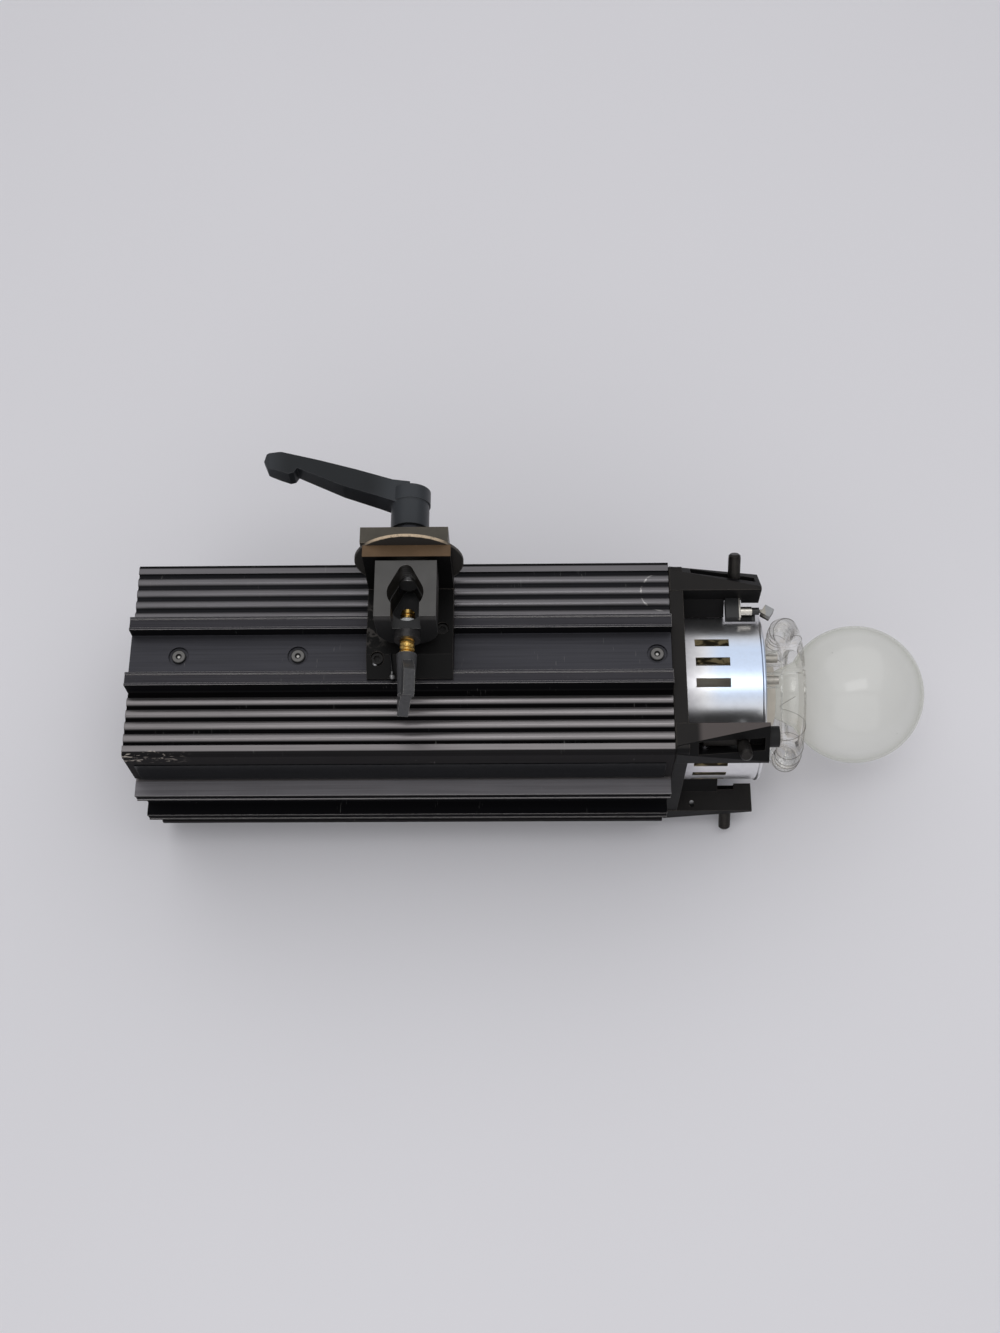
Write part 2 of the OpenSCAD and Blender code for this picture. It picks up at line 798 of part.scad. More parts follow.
module ready_lamp() color("#3fa34d") {
    translate([panel_x, ready_at[0], ready_at[1]]) sphere(ready_r);
    rod_x(ready_r, panel_x, panel_t + ready_r, ready_at[0], ready_at[1]);
}

module slave_sensor() color("#5a1f1f") {
    translate([panel_x, sensor_at[0], sensor_at[1]]) sphere(sensor_r);
    rod_x(sensor_r, panel_x, panel_t + sensor_r, sensor_at[0], sensor_at[1]);
    rod_x(sensor_r + sensor_collar, panel_in, 2, sensor_at[0], sensor_at[1]);
}

module sync_jack() color("#b9bbc0") translate([0, jack_at[0], jack_at[1]]) difference() {
    union() {
        rod_x(jack_bore_r + jack_wall, panel_x - jack_proud, jack_proud + jack_depth);
        translate([panel_x - jack_proud, 0, 0]) rotate([0, 90, 0])
            cylinder(r = jack_nut_r, h = jack_proud, $fn = 6);
        block(panel_in, panel_x + jack_depth + jack_wall, -jack_body / 2, jack_body / 2,
            -jack_body / 2, jack_body / 2);
    }
    rod_x(jack_bore_r, panel_x - jack_proud - over, jack_proud + over + jack_depth);
}

module control_board() color("#1f5a34") difference() {
    along_x(board_x, board_t) square([2 * (inner - boss_w - rod_head), 2 * (inner - 2)], center = true);
    for (y = [-1, 1], z = standoff_z) {
        rod_x(board_hole_r, board_x - over, board_t + 2 * over, y * standoff_y, z);
    }
}

module board_standoffs() color("#b9bbc0") {
    for (y = [-1, 1], z = standoff_z) {
        rod_x(standoff_r, panel_in, board_x - panel_in, y * standoff_y, z);
        rod_x(board_hole_r - fit, board_x, board_t, y * standoff_y, z);
        rod_x(standoff_r - 0.4, board_x + board_t, 2, y * standoff_y, z);
    }
}

module capacitors() color("#2b3f66") {
    for (y = [-1, 1], z = [-1, 1]) translate([0, y * capacitor_c, z * capacitor_c]) {
        rod_x(capacitor_can_r, capacitor_x, capacitor_len);
        for (s = [-1, 1]) rod_x(4, capacitor_x - 5, 5 + over, s * 9);
    }
}

// Two plates with round holes hold the capacitors. Their corners clear the case's bosses
module capacitor_clamps() color("#a9abb0") {
    last_x = capacitor_x + capacitor_len - clamp_inset - clamp_plate_t;
    cut = [clamp_plate_t + 2 * over, boss_w + 2 * gap, boss_w + 2 * gap];
    for (x = [capacitor_x + clamp_inset, last_x]) difference() {
        along_x(x, clamp_plate_t) square(2 * inner - 2 * gap, center = true);
        for (y = [-1, 1], z = [-1, 1]) {
            rod_x(capacitor_can_r + gap / 2, x - over, cut[0], y * capacitor_c, z * capacitor_c);
            translate([x + clamp_plate_t / 2, y * boss_c, z * boss_c]) cube(cut, center = true);
        }
        // Room for the bracket's nut plate and for wires
        for (face = [0 : 3]) rotate([90 * face, 0, 0]) {
            block(x - over, x + clamp_plate_t + over, -nut_plate_half - gap, nut_plate_half + gap,
                inner - nut_plate_t - over, inner + over);
        }
    }
}

// The charging board, on two rails of its own along the case's lower wall
module power_board() color("#1f5a34") {
    x0 = board_x + 12;
    x1 = capacitor_x - 16;
    block(x0, x1, -inner + boss_w + 1, inner - boss_w - 1, tray_z, tray_z + board_t);
    for (s = [-1, 1]) block(x0 + 4, x1 - 4, s * 30 - 3, s * 30 + 3, -inner, tray_z);
}

module charging_choke() color("#8a5a2c") {
    x0 = board_x + 26;
    z0 = tray_z + board_t;
    block(x0, x0 + choke_len, choke_y, choke_y + choke_len, z0, z0 + choke_h);
    block(x0 + coil_inset, x0 + choke_len - coil_inset, choke_y - coil_out, choke_y + choke_len + coil_out,
        z0 + coil_z, z0 + choke_h - coil_z);
}

module rectifier_heatsink() color("#9a9ca1") {
    x0 = board_x + 22;
    z0 = tray_z + board_t;
    fin_step = (sink_len - sink_fin_t) / sink_fins;
    block(x0, x0 + sink_len, sink_y, sink_y + sink_t, z0, z0 + sink_h);
    for (k = [0 : sink_fins - 1]) translate([k * fin_step, 0, 0])
        block(x0, x0 + sink_fin_t, sink_y + sink_t - over, sink_y + sink_t + sink_fin_len, z0, z0 + sink_h);
}

module front_chassis() color("#a9abb0") difference() {
    along_x(case_front - chassis_t, chassis_t) round_square(inner - gap, 2);
    rod_x(socket_flange_r - 4, case_front - chassis_t - over, chassis_t + 2 * over);
    four_corners(boss_c) rod_x(rod_d / 2 + rod_clear, case_front - chassis_t - over, chassis_t + 2 * over);
}

module trigger_transformer() color("#26262a") {
    block(case_front, case_front + transformer_len, -transformer_w / 2, transformer_w / 2,
        -transformer_out, -transformer_in);
    rod_x(3, case_front + transformer_len, 4, 0, -(transformer_in + transformer_out) / 2);
}

module lamp_can() color("#d6dae2") difference() {
    union() {
        rod_x(can_r, case_front, can_len - case_front);
        // Rolled rim
        translate([can_len - rim_r, 0, 0]) rotate([0, 90, 0])
            rotate_extrude() translate([can_r - rim_r / 4, 0]) circle(rim_r, $fn = 24);
    }
    rod_x(can_in, case_front + 1, can_len - case_front + 2);
    rod_x(can_in - can_lip, case_front - over, 2 + over);
    for (face = [0 : 3], k = [-1 : 1]) rotate([90 * face + slot_step * k, 0, 0])
        block(slot_x, slot_x + slot_len, -slot_w / 2, slot_w / 2, can_in - 4, can_r + 3);
}

module can_floor() color("#e6e2d8") difference() {
    rod_x(can_in - gap / 2, floor_x, floor_t);
    rod_x(socket_r + gap / 2, floor_x - over, floor_t + 2 * over);
    for (s = [-1, 1]) rod_x(leg_r + gap, floor_x - over, floor_t + 2 * over, s * leg_c, leg_z);
    for (k = [1 : 11]) if (abs(k - 6) != 3) rotate([30 * k, 0, 0])
        rod_x(3, floor_x - over, floor_t + 2 * over, 0, can_in - 9);
}

module lamp_socket() color("#e6e2d8") difference() {
    union() {
        rod_x(socket_r, case_front + 1, socket_front - case_front - 1);
        rod_x(socket_flange_r, case_front, socket_flange_t);
    }
    rod_x(cap_r + gap, cap_x - gap, socket_front - cap_x + gap + over);
    rod_x(5, case_front - over, 20);
}

module lamp_cap() color("#b8a36a") {
    turns = 5;
    core_r = cap_r - 0.8;
    tip_len = 4;
    step = (cap_len - tip_len) / (turns + 1);
    rod_x(core_r, cap_x + tip_len, cap_len - tip_len);
    for (k = [1 : turns]) translate([cap_x + tip_len + k * step, 0, 0]) rotate([0, 90, 0])
        rotate_extrude() translate([cap_r - 1, 0]) circle(1, $fn = 16);
    translate([cap_x, 0, 0]) rotate([0, 90, 0]) cylinder(r1 = 5, r2 = core_r, h = tip_len);
}

// The outline of the lamp's glass, or of the room inside it
module bulb(wall, back) {
    translate([globe_x, 0, 0]) sphere(globe_r - wall, $fn = 96);
    translate([neck_x - back, 0, 0]) rotate([0, 90, 0])
        cylinder(r1 = cap_r - wall, r2 = throat_r - wall, h = throat_x + over + back * 3 - neck_x + back);
}

// The frosted globe is a hollow glass shell that narrows to the cap
module lamp_globe() color("#e8ece6") difference() {
    bulb(0, 0);
    bulb(glass_t, over);
}

module lamp_filament() color("#c9cdd0") {
    stem_len = 25;
    lead_len = 16;
    rod_x(4, neck_x, stem_len);
    for (s = [-1, 1]) rod_x(0.5, neck_x + stem_len - over, lead_len, s * 2.5);
    rod_y(1, -7, 14, neck_x + stem_len + lead_len - 2 * over);
}

// A ring of glass tube, open for a short stretch at the top, with a leg at each end of it
module ring_tube(r, leg, shorter, back_x) {
    start = gap_angle + shorter;
    translate([ring_x, 0, 0]) rotate([0, 90, 0]) rotate([0, 0, 180 + start])
        rotate_extrude(angle = 360 - 2 * start, $fn = 96) translate([ring_r, 0]) circle(r, $fn = 32);
    for (s = [-1, 1]) rod_x(leg, back_x, ring_x - back_x, s * leg_c, leg_z);
}

module flash_tube() color("#dfe6e6") {
    end_angle = glass_t / ring_r * 180 / PI;
    difference() {
        ring_tube(tube_r, leg_r, 0, leg_back);
        ring_tube(tube_r - glass_t, leg_r - glass_t, end_angle, leg_back + over);
    }
}

module tube_electrodes() color("#6d6a66") for (s = [-1, 1]) {
    rod_x(2.4, floor_x + floor_t + 2, 9, s * leg_c, leg_z);
    rod_x(1, leg_back + over, floor_x + floor_t + 3 - leg_back - over, s * leg_c, leg_z);
    // Terminal cap behind the leg's closed end
    rod_x(leg_r + 0.9, leg_back - 6, 6, s * leg_c, leg_z);
}

// A terminal on the far upper arm, just above the can: a lug with a strip, a ferrule, a black sleeve and a
// tilted block on a wire
module trigger_terminals() color("#c4c6ca") {
    y = lug_in + strip_w - 1.8;
    z = strip_z + strip_t + ferrule_r - over;
    ferrule_x = lug_x + lug_len;
    sleeve_x = ferrule_x + ferrule_len;
    wire_x = sleeve_x + sleeve_len;
    block(lug_x, ferrule_x + over, lug_in, arm_in - fit, strip_z, strip_z + strip_t + lug_h);
    block(lug_x, lug_x + strip_len, lug_in, lug_in + strip_w, strip_z, strip_z + strip_t);
    rod_x(ferrule_r, ferrule_x, ferrule_len, y, z);
    rod_x(sleeve_r, sleeve_x, sleeve_len, y, z);
    rod_x(wire_r, wire_x, wire_len, y, z);
    translate([wire_x + wire_len + tip_side / 4, y - 1, z]) rotate([0, 0, tip_tilt])
        cube(tip_side, center = true);
}

module arm_bumper() color("#17171a") {
    rod_x(bumper_r, arm_len, bumper_len, -arm_in - 4, arm_in + 6);
}

module finger_axles() color("#b9bbc0") {
    at_arms() rod_y(axle_r, -axle_len / 2, axle_len, axle_x, axle_out);
}

module finger_springs() color("#9a9ca1") {
    spring_in = lever_w / 2 + gap;
    bore_r = axle_r + gap / 2;
    at_arms() for (y0 = [-bay_half, spring_in]) difference() {
        rod_y(bore_r + spring_wall, y0, bay_half - spring_in, axle_x, axle_out);
        rod_y(bore_r, -bay_half - over, 2 * bay_half + 2 * over, axle_x, axle_out);
    }
}

// A finger is a lever on an axle with a pin that stands outwards through the arm's slot
module finger(k) rotate([45 + 90 * (k - 1), 0, 0]) {
    low = axle_out - lever_t / 2;
    high = axle_out + lever_t / 2;
    difference() {
        union() {
            block(axle_x, lever_end, -lever_w / 2, lever_w / 2, low, high);
            rod_y(lever_t / 2, -lever_w / 2, lever_w, axle_x, axle_out);
        }
        rod_y(axle_r + fit, -lever_w, 2 * lever_w, axle_x, axle_out);
    }
    translate([pin_x, 0, high - fit]) cylinder(r = pin_d / 2, h = pin_reach - high - 1 + fit);
    translate([pin_x, 0, pin_reach - 1]) cylinder(r1 = pin_d / 2, r2 = pin_d / 2 - 1, h = 1);
}

module finger_1() color("#3a3a3c") finger(1);

module finger_2() color("#3a3a3c") finger(2);

module finger_3() color("#3a3a3c") finger(3);

module finger_4() color("#3a3a3c") finger(4);

// The bracket's base lies on the rails and turns up into the plate that the tilt bolt goes through
module bracket_base() color("#5a534c") difference() {
    union() {
        translate([bracket_x - bracket_w / 2, 0, 0]) rotate([90, 0, 90]) linear_extrude(bracket_w) polygon([
            [front_y, rail_tip], [disc_y, rail_tip], [disc_y, plate_top], [upright_y, plate_top],
            [upright_y, base_top], [front_top_y, base_top], [front_y, rail_tip + front_foot]
        ]);
        block(bracket_x - bracket_w / 2, bracket_x + bracket_w / 2, gap - rail_in, rail_in - gap,
            half + channel_rise, rail_tip + over);
    }
    rod_y(bolt_r + fit, upright_y - over, upright_t + 2 * over, bracket_x, axis_z);
    for (s = [-1, 1]) translate([bracket_x + s * bracket_screw_dx, s * bracket_screw_y, 0]) {
        rod_z(bracket_screw_r + gap, half, base_t + 2 * rail_rise);
        rod_z(bracket_head_r + gap, bracket_head_z, 2 * bracket_head_h);
    }
}

module bracket_screws() color("#26262a") {
    foot_z = inner - nut_plate_t;
    for (s = [-1, 1]) translate([bracket_x + s * bracket_screw_dx, s * bracket_screw_y, 0]) difference() {
        union() {
            rod_z(bracket_head_r, bracket_head_z, bracket_head_h);
            rod_z(bracket_screw_r, foot_z, bracket_head_z - foot_z);
        }
        translate([0, 0, bracket_head_z + bracket_head_h / 2])
            cylinder(r = bracket_screw_r, h = bracket_head_h, $fn = 6);
    }
}

module bracket_nut_plate() color("#8a8b8f") difference() {
    foot_z = inner - nut_plate_t;
    cut_len = nut_plate_t + 2 * over;
    block(bracket_x - bracket_w / 2, bracket_x + bracket_w / 2, -nut_plate_half, nut_plate_half,
        foot_z, inner);
    for (s = [-1, 1]) translate([bracket_x + s * bracket_screw_dx, s * bracket_screw_y, 0]) {
        rod_z(bracket_screw_r + fit, foot_z - over, cut_len);
    }
    rod_z(channel_head_d / 2, foot_z - over, cut_len, case_rear + channel_first + 2 * channel_step);
}

module friction_disc() color("#211f1e") difference() {
    rod_y(disc_d / 2, disc_y, disc_t, bracket_x, axis_z);
    rod_y(bolt_r + gap, disc_y - over, disc_t + 2 * over, bracket_x, axis_z);
}

// The socket's hole, which narrows towards the bracket so that a round stud is wedged in it
module seat_cut(z0, depth, shrink) {
    lean = asin((seat_r - apex_r) / seat_gap);
    r0 = seat_r - shrink;
    r1 = apex_r - shrink;
    translate([bracket_x, 0, z0]) linear_extrude(depth) {
        translate([0, seat_y]) circle(r0);
        translate([0, apex_y]) circle(r1);
        polygon([
            [r0 * cos(lean), seat_y + r0 * sin(lean)], [r1 * cos(lean), apex_y + r1 * sin(lean)],
            [-r1 * cos(lean), apex_y + r1 * sin(lean)], [-r0 * cos(lean), seat_y + r0 * sin(lean)]
        ]);
    }
}

module stand_socket() color("#34363a") difference() {
    union() {
        block(bracket_x - knuckle_r, bracket_x + knuckle_r, socket_near, socket_far, axis_z, socket_top);
        rod_y(knuckle_r, socket_near, socket_len, bracket_x, axis_z);
    }
    seat_cut(seat_step_z, socket_top - seat_step_z + over, 0);
    seat_cut(seat_floor, seat_step_z - seat_floor, seat_draft);
    block(bracket_x - mouth_w / 2, bracket_x + mouth_w / 2, socket_near - over, seat_y,
        seat_step_z, socket_top + over);
    rod_y(bush_neck_r + fit, socket_near - over, near_wall + over + cone_len, bracket_x, thumb_z);
    rod_y(bolt_r + fit, bolt_head_y, socket_len, bracket_x, axis_z);
    rod_y(bolt_head_r + gap, apex_y - apex_r, bolt_head_y + bolt_head_t - apex_y + apex_r, bracket_x, axis_z);
}

module tilt_bolt() color("#8f9196") {
    rod_y(bolt_head_r, bolt_head_y, bolt_head_t, bracket_x, axis_z);
    rod_y(bolt_r, bolt_head_y + over, hub_y + bolt_past - bolt_head_y - over, bracket_x, axis_z);
}

module thrust_washer() color("#d9d4c4") difference() {
    rod_y(washer_r, socket_far, washer_t, bracket_x, axis_z);
    rod_y(bolt_r + fit, socket_far - over, washer_t + 2 * over, bracket_x, axis_z);
}

module clamp_plate() color("#6a5c4e") difference() {
    translate([bracket_x - clamp_shift, clamp_y, axis_z]) translate([-bracket_w / 2, 0, -plate_rise])
        cube([bracket_w, clamp_t, 2 * plate_rise]);
    rod_y(bolt_r + fit, clamp_y - over, clamp_t + 2 * over, bracket_x, axis_z);
}

// A bright bush in the socket's near wall, with a cone inside it, which the thumb screw runs through
module thumb_bush() color("#c9ccd2") difference() {
    union() {
        rod_y(bush_r, bush_y, bush_boss_len, bracket_x, thumb_z);
        rod_y(bush_neck_r, bush_y, bush_boss_len + near_wall, bracket_x, thumb_z);
        translate([bracket_x, socket_near + near_wall, thumb_z]) rotate([-90, 0, 0])
            cylinder(r1 = bush_neck_r, r2 = thumb_r + 0.6, h = cone_len);
    }
    rod_y(thumb_r + fit, bush_y - over, bush_boss_len + near_wall + cone_len + 2 * over, bracket_x, thumb_z);
}

module thumb_screw() color("#c48f3a") {
    rod_y(thumb_r, wing_y - wing_grip, thumb_tip - tip_chamfer - wing_y + wing_grip, bracket_x, thumb_z);
    translate([bracket_x, thumb_tip - tip_chamfer, thumb_z]) rotate([-90, 0, 0])
        cylinder(r1 = thumb_r, r2 = thumb_r - tip_chamfer, h = tip_chamfer);
}

module wing_knob() color("#4a4a4c")
    translate([bracket_x, wing_y, thumb_z]) rotate([0, wing_turn, 0]) difference() {
    union() {
        rotate([90, 0, 0]) cylinder(r1 = wing_hub_d / 2, r2 = wing_hub_d / 2 - 1.2, h = wing_len - 6);
        intersection() {
            translate([-wing_t / 2, 0, 0]) rotate([90, 0, 90]) linear_extrude(wing_t) polygon([
                [-4, 4], [-12, wing_span / 2 - 3], [-15, wing_span / 2], [-wing_len + 2, wing_span / 2],
                [-wing_len, wing_span / 2 - 2], [-wing_len + 4, 4], [-wing_len + 4, -4],
                [-wing_len, 2 - wing_span / 2], [-wing_len + 2, -wing_span / 2], [-15, -wing_span / 2],
                [-12, 3 - wing_span / 2], [-4, -4]
            ]);
            rod_y(wing_span / 2 + 0.5, -wing_len - over, wing_len + 2 * over);
        }
    }
    rod_y(thumb_r + fit, -wing_grip - gap, wing_grip + over + gap);
}

module clamp_insert() color("#a9acb2") difference() {
    union() {
        rod_y(collar_d / 2, collar_y, collar_len, bracket_x, axis_z);
        rod_y(spigot_r, collar_y, hub_y + spigot_len - collar_y, bracket_x, axis_z);
    }
    rod_y(bolt_r + fit, collar_y - over, hub_y + 2 * over - collar_y, bracket_x, axis_z);
    rod_y(lever_screw_r + fit, hub_y, spigot_len + over, bracket_x, axis_z);
}

// The lever rises away from the bracket towards its tip, which has a heel on its near side
module clamp_lever() color("#44464a") {
    cap_y = hub_y + 15.5;
    dome_y = hub_y + 26.3;
    tip_x = lever_reach;
    difference() {
        union() {
            rod_y(hub_r, hub_y, cap_y - hub_y + over, bracket_x, axis_z);
            intersection() {
                rod_y(hub_r + 0.6, cap_y, dome_y - cap_y, bracket_x, axis_z);
                translate([bracket_x, cap_y - 8, axis_z]) sphere(19.8);
            }
            intersection() {
                translate([bracket_x, hub_y, axis_z - 20]) linear_extrude(40) polygon([
                    [0, 27], [-9.6, 28.3], [-29.7, 35.2], [-50.3, 41.6], [10 - tip_x, 47.6],
                    [1.4 - tip_x, 47.4], [-tip_x, 43.4], [2.4 - tip_x, 38], [14.6 - tip_x, 33.6],
                    [17.4 - tip_x, 34.4], [19.2 - tip_x, 37.2], [-37.3, 25.3], [-17.2, 18.2],
                    [-9, 15], [0, 12]
                ]);
                rotate([-90, 0, 0]) translate([bracket_x, -axis_z, 0]) linear_extrude(200) polygon([
                    [6, -7.8], [-10, -7.8], [8 - tip_x, -5.6], [3 - tip_x, -4.6], [-tip_x, -2],
                    [-tip_x, 2], [3 - tip_x, 4.6], [8 - tip_x, 5.6], [-10, 7.8], [6, 7.8]
                ]);
            }
        }
        rod_y(spigot_r + fit, hub_y - over, spigot_len + 2 * over, bracket_x, axis_z);
        rod_y(lever_screw_r + gap, hub_y, well_floor + over, bracket_x, axis_z);
        rod_y(well_r, hub_y + well_floor, lever_reach, bracket_x, axis_z);
    }
}

module lever_screw() color("#2a2a2c") difference() {
    foot_y = hub_y + 1.5 * over;
    head_y = hub_y + lever_head_y;
    union() {
        rod_y(lever_screw_head_r, head_y, lever_screw_head_t, bracket_x, axis_z);
        rod_y(lever_screw_r, foot_y, head_y - foot_y + over, bracket_x, axis_z);
    }
    translate([bracket_x, head_y + lever_screw_head_t / 2, axis_z]) rotate([-90, 0, 0])
        cylinder(r = lever_screw_head_r * 0.45, h = lever_screw_head_t, $fn = 6);
}

module lever_spring() color("#9a9ca1") difference() {
    spring_len = lever_head_y - well_floor - gap;
    rod_y(well_r - 0.8, hub_y + well_floor + gap / 2, spring_len, bracket_x, axis_z);
    rod_y(well_r - 1.8, hub_y + well_floor - over, spring_len + 2 * over, bracket_x, axis_z);
}

case_shell();
band_plates();
channel_screws();
front_bezel();
tie_rods();
rear_panel();
mains_inlet();
fuse_holder();
rocker_frames();
power_rocker();
lamp_rocker();
recycle_rocker();
slider_pots();
flash_slider();
lamp_slider();
test_button();
ready_lamp();
slave_sensor();
sync_jack();
control_board();
board_standoffs();
capacitors();
capacitor_clamps();
power_board();
charging_choke();
rectifier_heatsink();
front_chassis();
trigger_transformer();
lamp_can();
can_floor();
lamp_socket();
lamp_cap();
lamp_globe();
lamp_filament();
flash_tube();
tube_electrodes();
trigger_terminals();
arm_bumper();
finger_axles();
finger_springs();
finger_1();
finger_2();
finger_3();
finger_4();
bracket_base();
bracket_screws();
bracket_nut_plate();
friction_disc();
stand_socket();
tilt_bolt();
thrust_washer();
clamp_plate();
thumb_bush();
thumb_screw();
wing_knob();
clamp_insert();
clamp_lever();
lever_screw();
lever_spring();
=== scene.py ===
"""A studio strobe with its bracket upwards: finishes, threads, windings, marks, light and camera."""

import json
import math

import bmesh
import bpy
from mathutils import Matrix, Vector


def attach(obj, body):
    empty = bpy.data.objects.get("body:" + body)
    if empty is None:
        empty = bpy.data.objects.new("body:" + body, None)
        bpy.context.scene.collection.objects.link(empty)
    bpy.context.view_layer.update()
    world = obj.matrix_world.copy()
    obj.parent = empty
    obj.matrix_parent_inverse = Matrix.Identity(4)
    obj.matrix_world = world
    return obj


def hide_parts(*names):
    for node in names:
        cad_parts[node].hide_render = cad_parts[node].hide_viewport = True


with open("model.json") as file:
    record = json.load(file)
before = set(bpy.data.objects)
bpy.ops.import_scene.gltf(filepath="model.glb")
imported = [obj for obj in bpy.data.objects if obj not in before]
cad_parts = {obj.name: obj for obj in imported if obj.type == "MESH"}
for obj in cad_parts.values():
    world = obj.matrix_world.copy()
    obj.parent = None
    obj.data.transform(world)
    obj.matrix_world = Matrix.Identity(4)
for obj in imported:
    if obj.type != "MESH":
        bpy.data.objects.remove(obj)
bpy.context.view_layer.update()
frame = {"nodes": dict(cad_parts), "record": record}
RECORD = frame["record"]
NODES = frame["nodes"]
MM = 0.001

# Places on the strobe in mm, as the solids have them
REST_Z = -67.7
CASE_REAR = -306.9
PANEL_X = -296.9
BRACKET_X = -150.9
AXIS_Z = 95.3
RING_X, RING_R, TUBE_R = 61.1, 37.5, 7.2
PIN_X, PIN_R, PIN_LOW, PIN_HIGH = 29.6, 3.4, 68.0, 85.8
THUMB_Z, THUMB_R, THUMB_BACK, THUMB_TIP = 93.3, 4.0, -23.2, 11.7
THREAD_PITCH = 1.75
FIN_TOP, RAIL_TOP, CHANNEL_HALF, CASE_CORNER = 58.0, 67.0, 12.8, 55.0
CAN_REAR, CAN_FRONT = 0.0, 45.0
BRACKET_TOP, DISC_R = 114.8, 29.5
LEVER_MIDDLE = (-226.0, -166.0)
SCREW_FIRST, SCREW_STEP = CASE_REAR + 27.0, 66.0
PULL_PIN_FOOT, PULL_PIN_AHEAD = (-161.0, -6.6, 77.0), (0.05, -0.84, -0.42)
RIVET_FOOT, RIVET_AHEAD = (-169.6, -11.0, 73.3), (0.0, -0.55, 0.84)

# Across and up the rear panel, in mm: the sliders, and each rocker with the side that its words stand on
FLASH_SLIDER, LAMP_SLIDER = (-28.0, -9.0), (28.0, -9.0)
SLIDER_TRAVEL = 40.0
ROCKERS = (("power", (-26.0, 33.0), -1), ("lamp", (0.0, 6.0), 1), ("recycle", (0.0, -21.0), 1))
WORD_BESIDE, WORD_UP, FIGURE_BESIDE, LETTER_HIGH = 12.8, 5.0, 13.0, 3.0

# The photograph's viewpoint, in metres and degrees, and its focal length over its height
VIEW_FROM = (-0.0837, -0.3799, 0.9060)
VIEW_YAW, VIEW_DOWN, VIEW_ROLL = -2.856, 66.207, -2.964
SENSOR_MM, FOCAL_SHARE = 36.0, 1686.2 / 1333.0

# Lamps: a place and a size in metres, and a power in watts
LAMPS_AIM = (-0.08, 0.0, 0.0)
LAMPS = (
    ("overhead", (-0.1, 0.5, 1.2), (2.4, 2.2), 10.4),
    ("near_fill", (-0.1, -1.35, 0.95), (2.4, 2.0), 9.6),
    ("strip", (-0.05, -0.17, 1.25), (0.8, 0.35), 1.6),
)
ROOM_LEVEL, PAPER_REACH = 0.28, 1.7


def srgb(red, green, blue):
    """A colour as it looks, from 0 to 255, as the linear colour that a shader takes."""
    def linear(v):
        v /= 255
        return v / 12.92 if v <= 0.04045 else ((v + 0.055) / 1.055) ** 2.4
    return (linear(red), linear(green), linear(blue), 1.0)


def shade(tone, by):
    """A colour made darker or lighter."""
    return (tone[0] * by, tone[1] * by, tone[2] * by, 1.0)


WHITE = srgb(255, 255, 255)


class Wire:
    """One output of a node. Python's operators on it add Math nodes."""

    def __init__(self, board, socket):
        self.board = board
        self.socket = socket

    def maths(self, operation, *values, **settings):
        return self.board.add("ShaderNodeMath", {"operation": operation, **settings}, *values)

    def __add__(self, other): return self.maths("ADD", self, other)
    def __radd__(self, other): return self.maths("ADD", other, self)
    def __sub__(self, other): return self.maths("SUBTRACT", self, other)
    def __rsub__(self, other): return self.maths("SUBTRACT", other, self)
    def __mul__(self, other): return self.maths("MULTIPLY", self, other)
    def __rmul__(self, other): return self.maths("MULTIPLY", other, self)
    def __truediv__(self, other): return self.maths("DIVIDE", self, other)
    def __rtruediv__(self, other): return self.maths("DIVIDE", other, self)
    def __pow__(self, other): return self.maths("POWER", self, other)
    def __gt__(self, other): return self.maths("GREATER_THAN", self, other)
    def __lt__(self, other): return self.maths("LESS_THAN", self, other)
    def __mod__(self, other): return self.maths("FLOORED_MODULO", self, other)
    def __abs__(self): return self.maths("ABSOLUTE", self)

    def wave(self):
        return self.maths("SINE", self)

    def cosine(self):
        return self.maths("COSINE", self)

    def whole(self):
        return self.maths("FLOOR", self)

    def most(self, other):
        return self.maths("MAXIMUM", self, other)

    def least(self, other):
        return self.maths("MINIMUM", self, other)

    def inside(self, low, high, soft=0.3):
        """1 between low and high, in mm, and 0 outside them."""
        return self.ramp(low - soft, low + soft) * self.ramp(high + soft, high - soft)

    def held(self):
        """Kept between 0 and 1."""
        return self.maths("ADD", self, 0.0, use_clamp=True)

    def ramp(self, low, high):
        """0 below low, 1 over high, and smooth between them. It falls where low is given over high."""
        return self.board.add("ShaderNodeMapRange", {"interpolation_type": "SMOOTHSTEP"}, self, low, high)


class Board:
    """A tree of nodes, for a material or for a layout of repeated pieces."""

    def __init__(self, tree):
        self.tree = tree

    def add(self, kind, settings=None, *values, out=0, **named):
        """A new node. Its settings come first, then its sockets in order, then sockets by name."""
        node = self.tree.nodes.new(kind)
        for key, value in (settings or {}).items():
            setattr(node, key, value)
        sockets = [*zip(node.inputs, values)]
        sockets += [(node.inputs[key.replace("_", " ")], value) for key, value in named.items()]
        for socket, value in sockets:
            if isinstance(value, Wire):
                self.tree.links.new(value.socket, socket)
            elif value is not None:
                socket.default_value = value
        return Wire(self, node.outputs[out] if node.outputs else None)


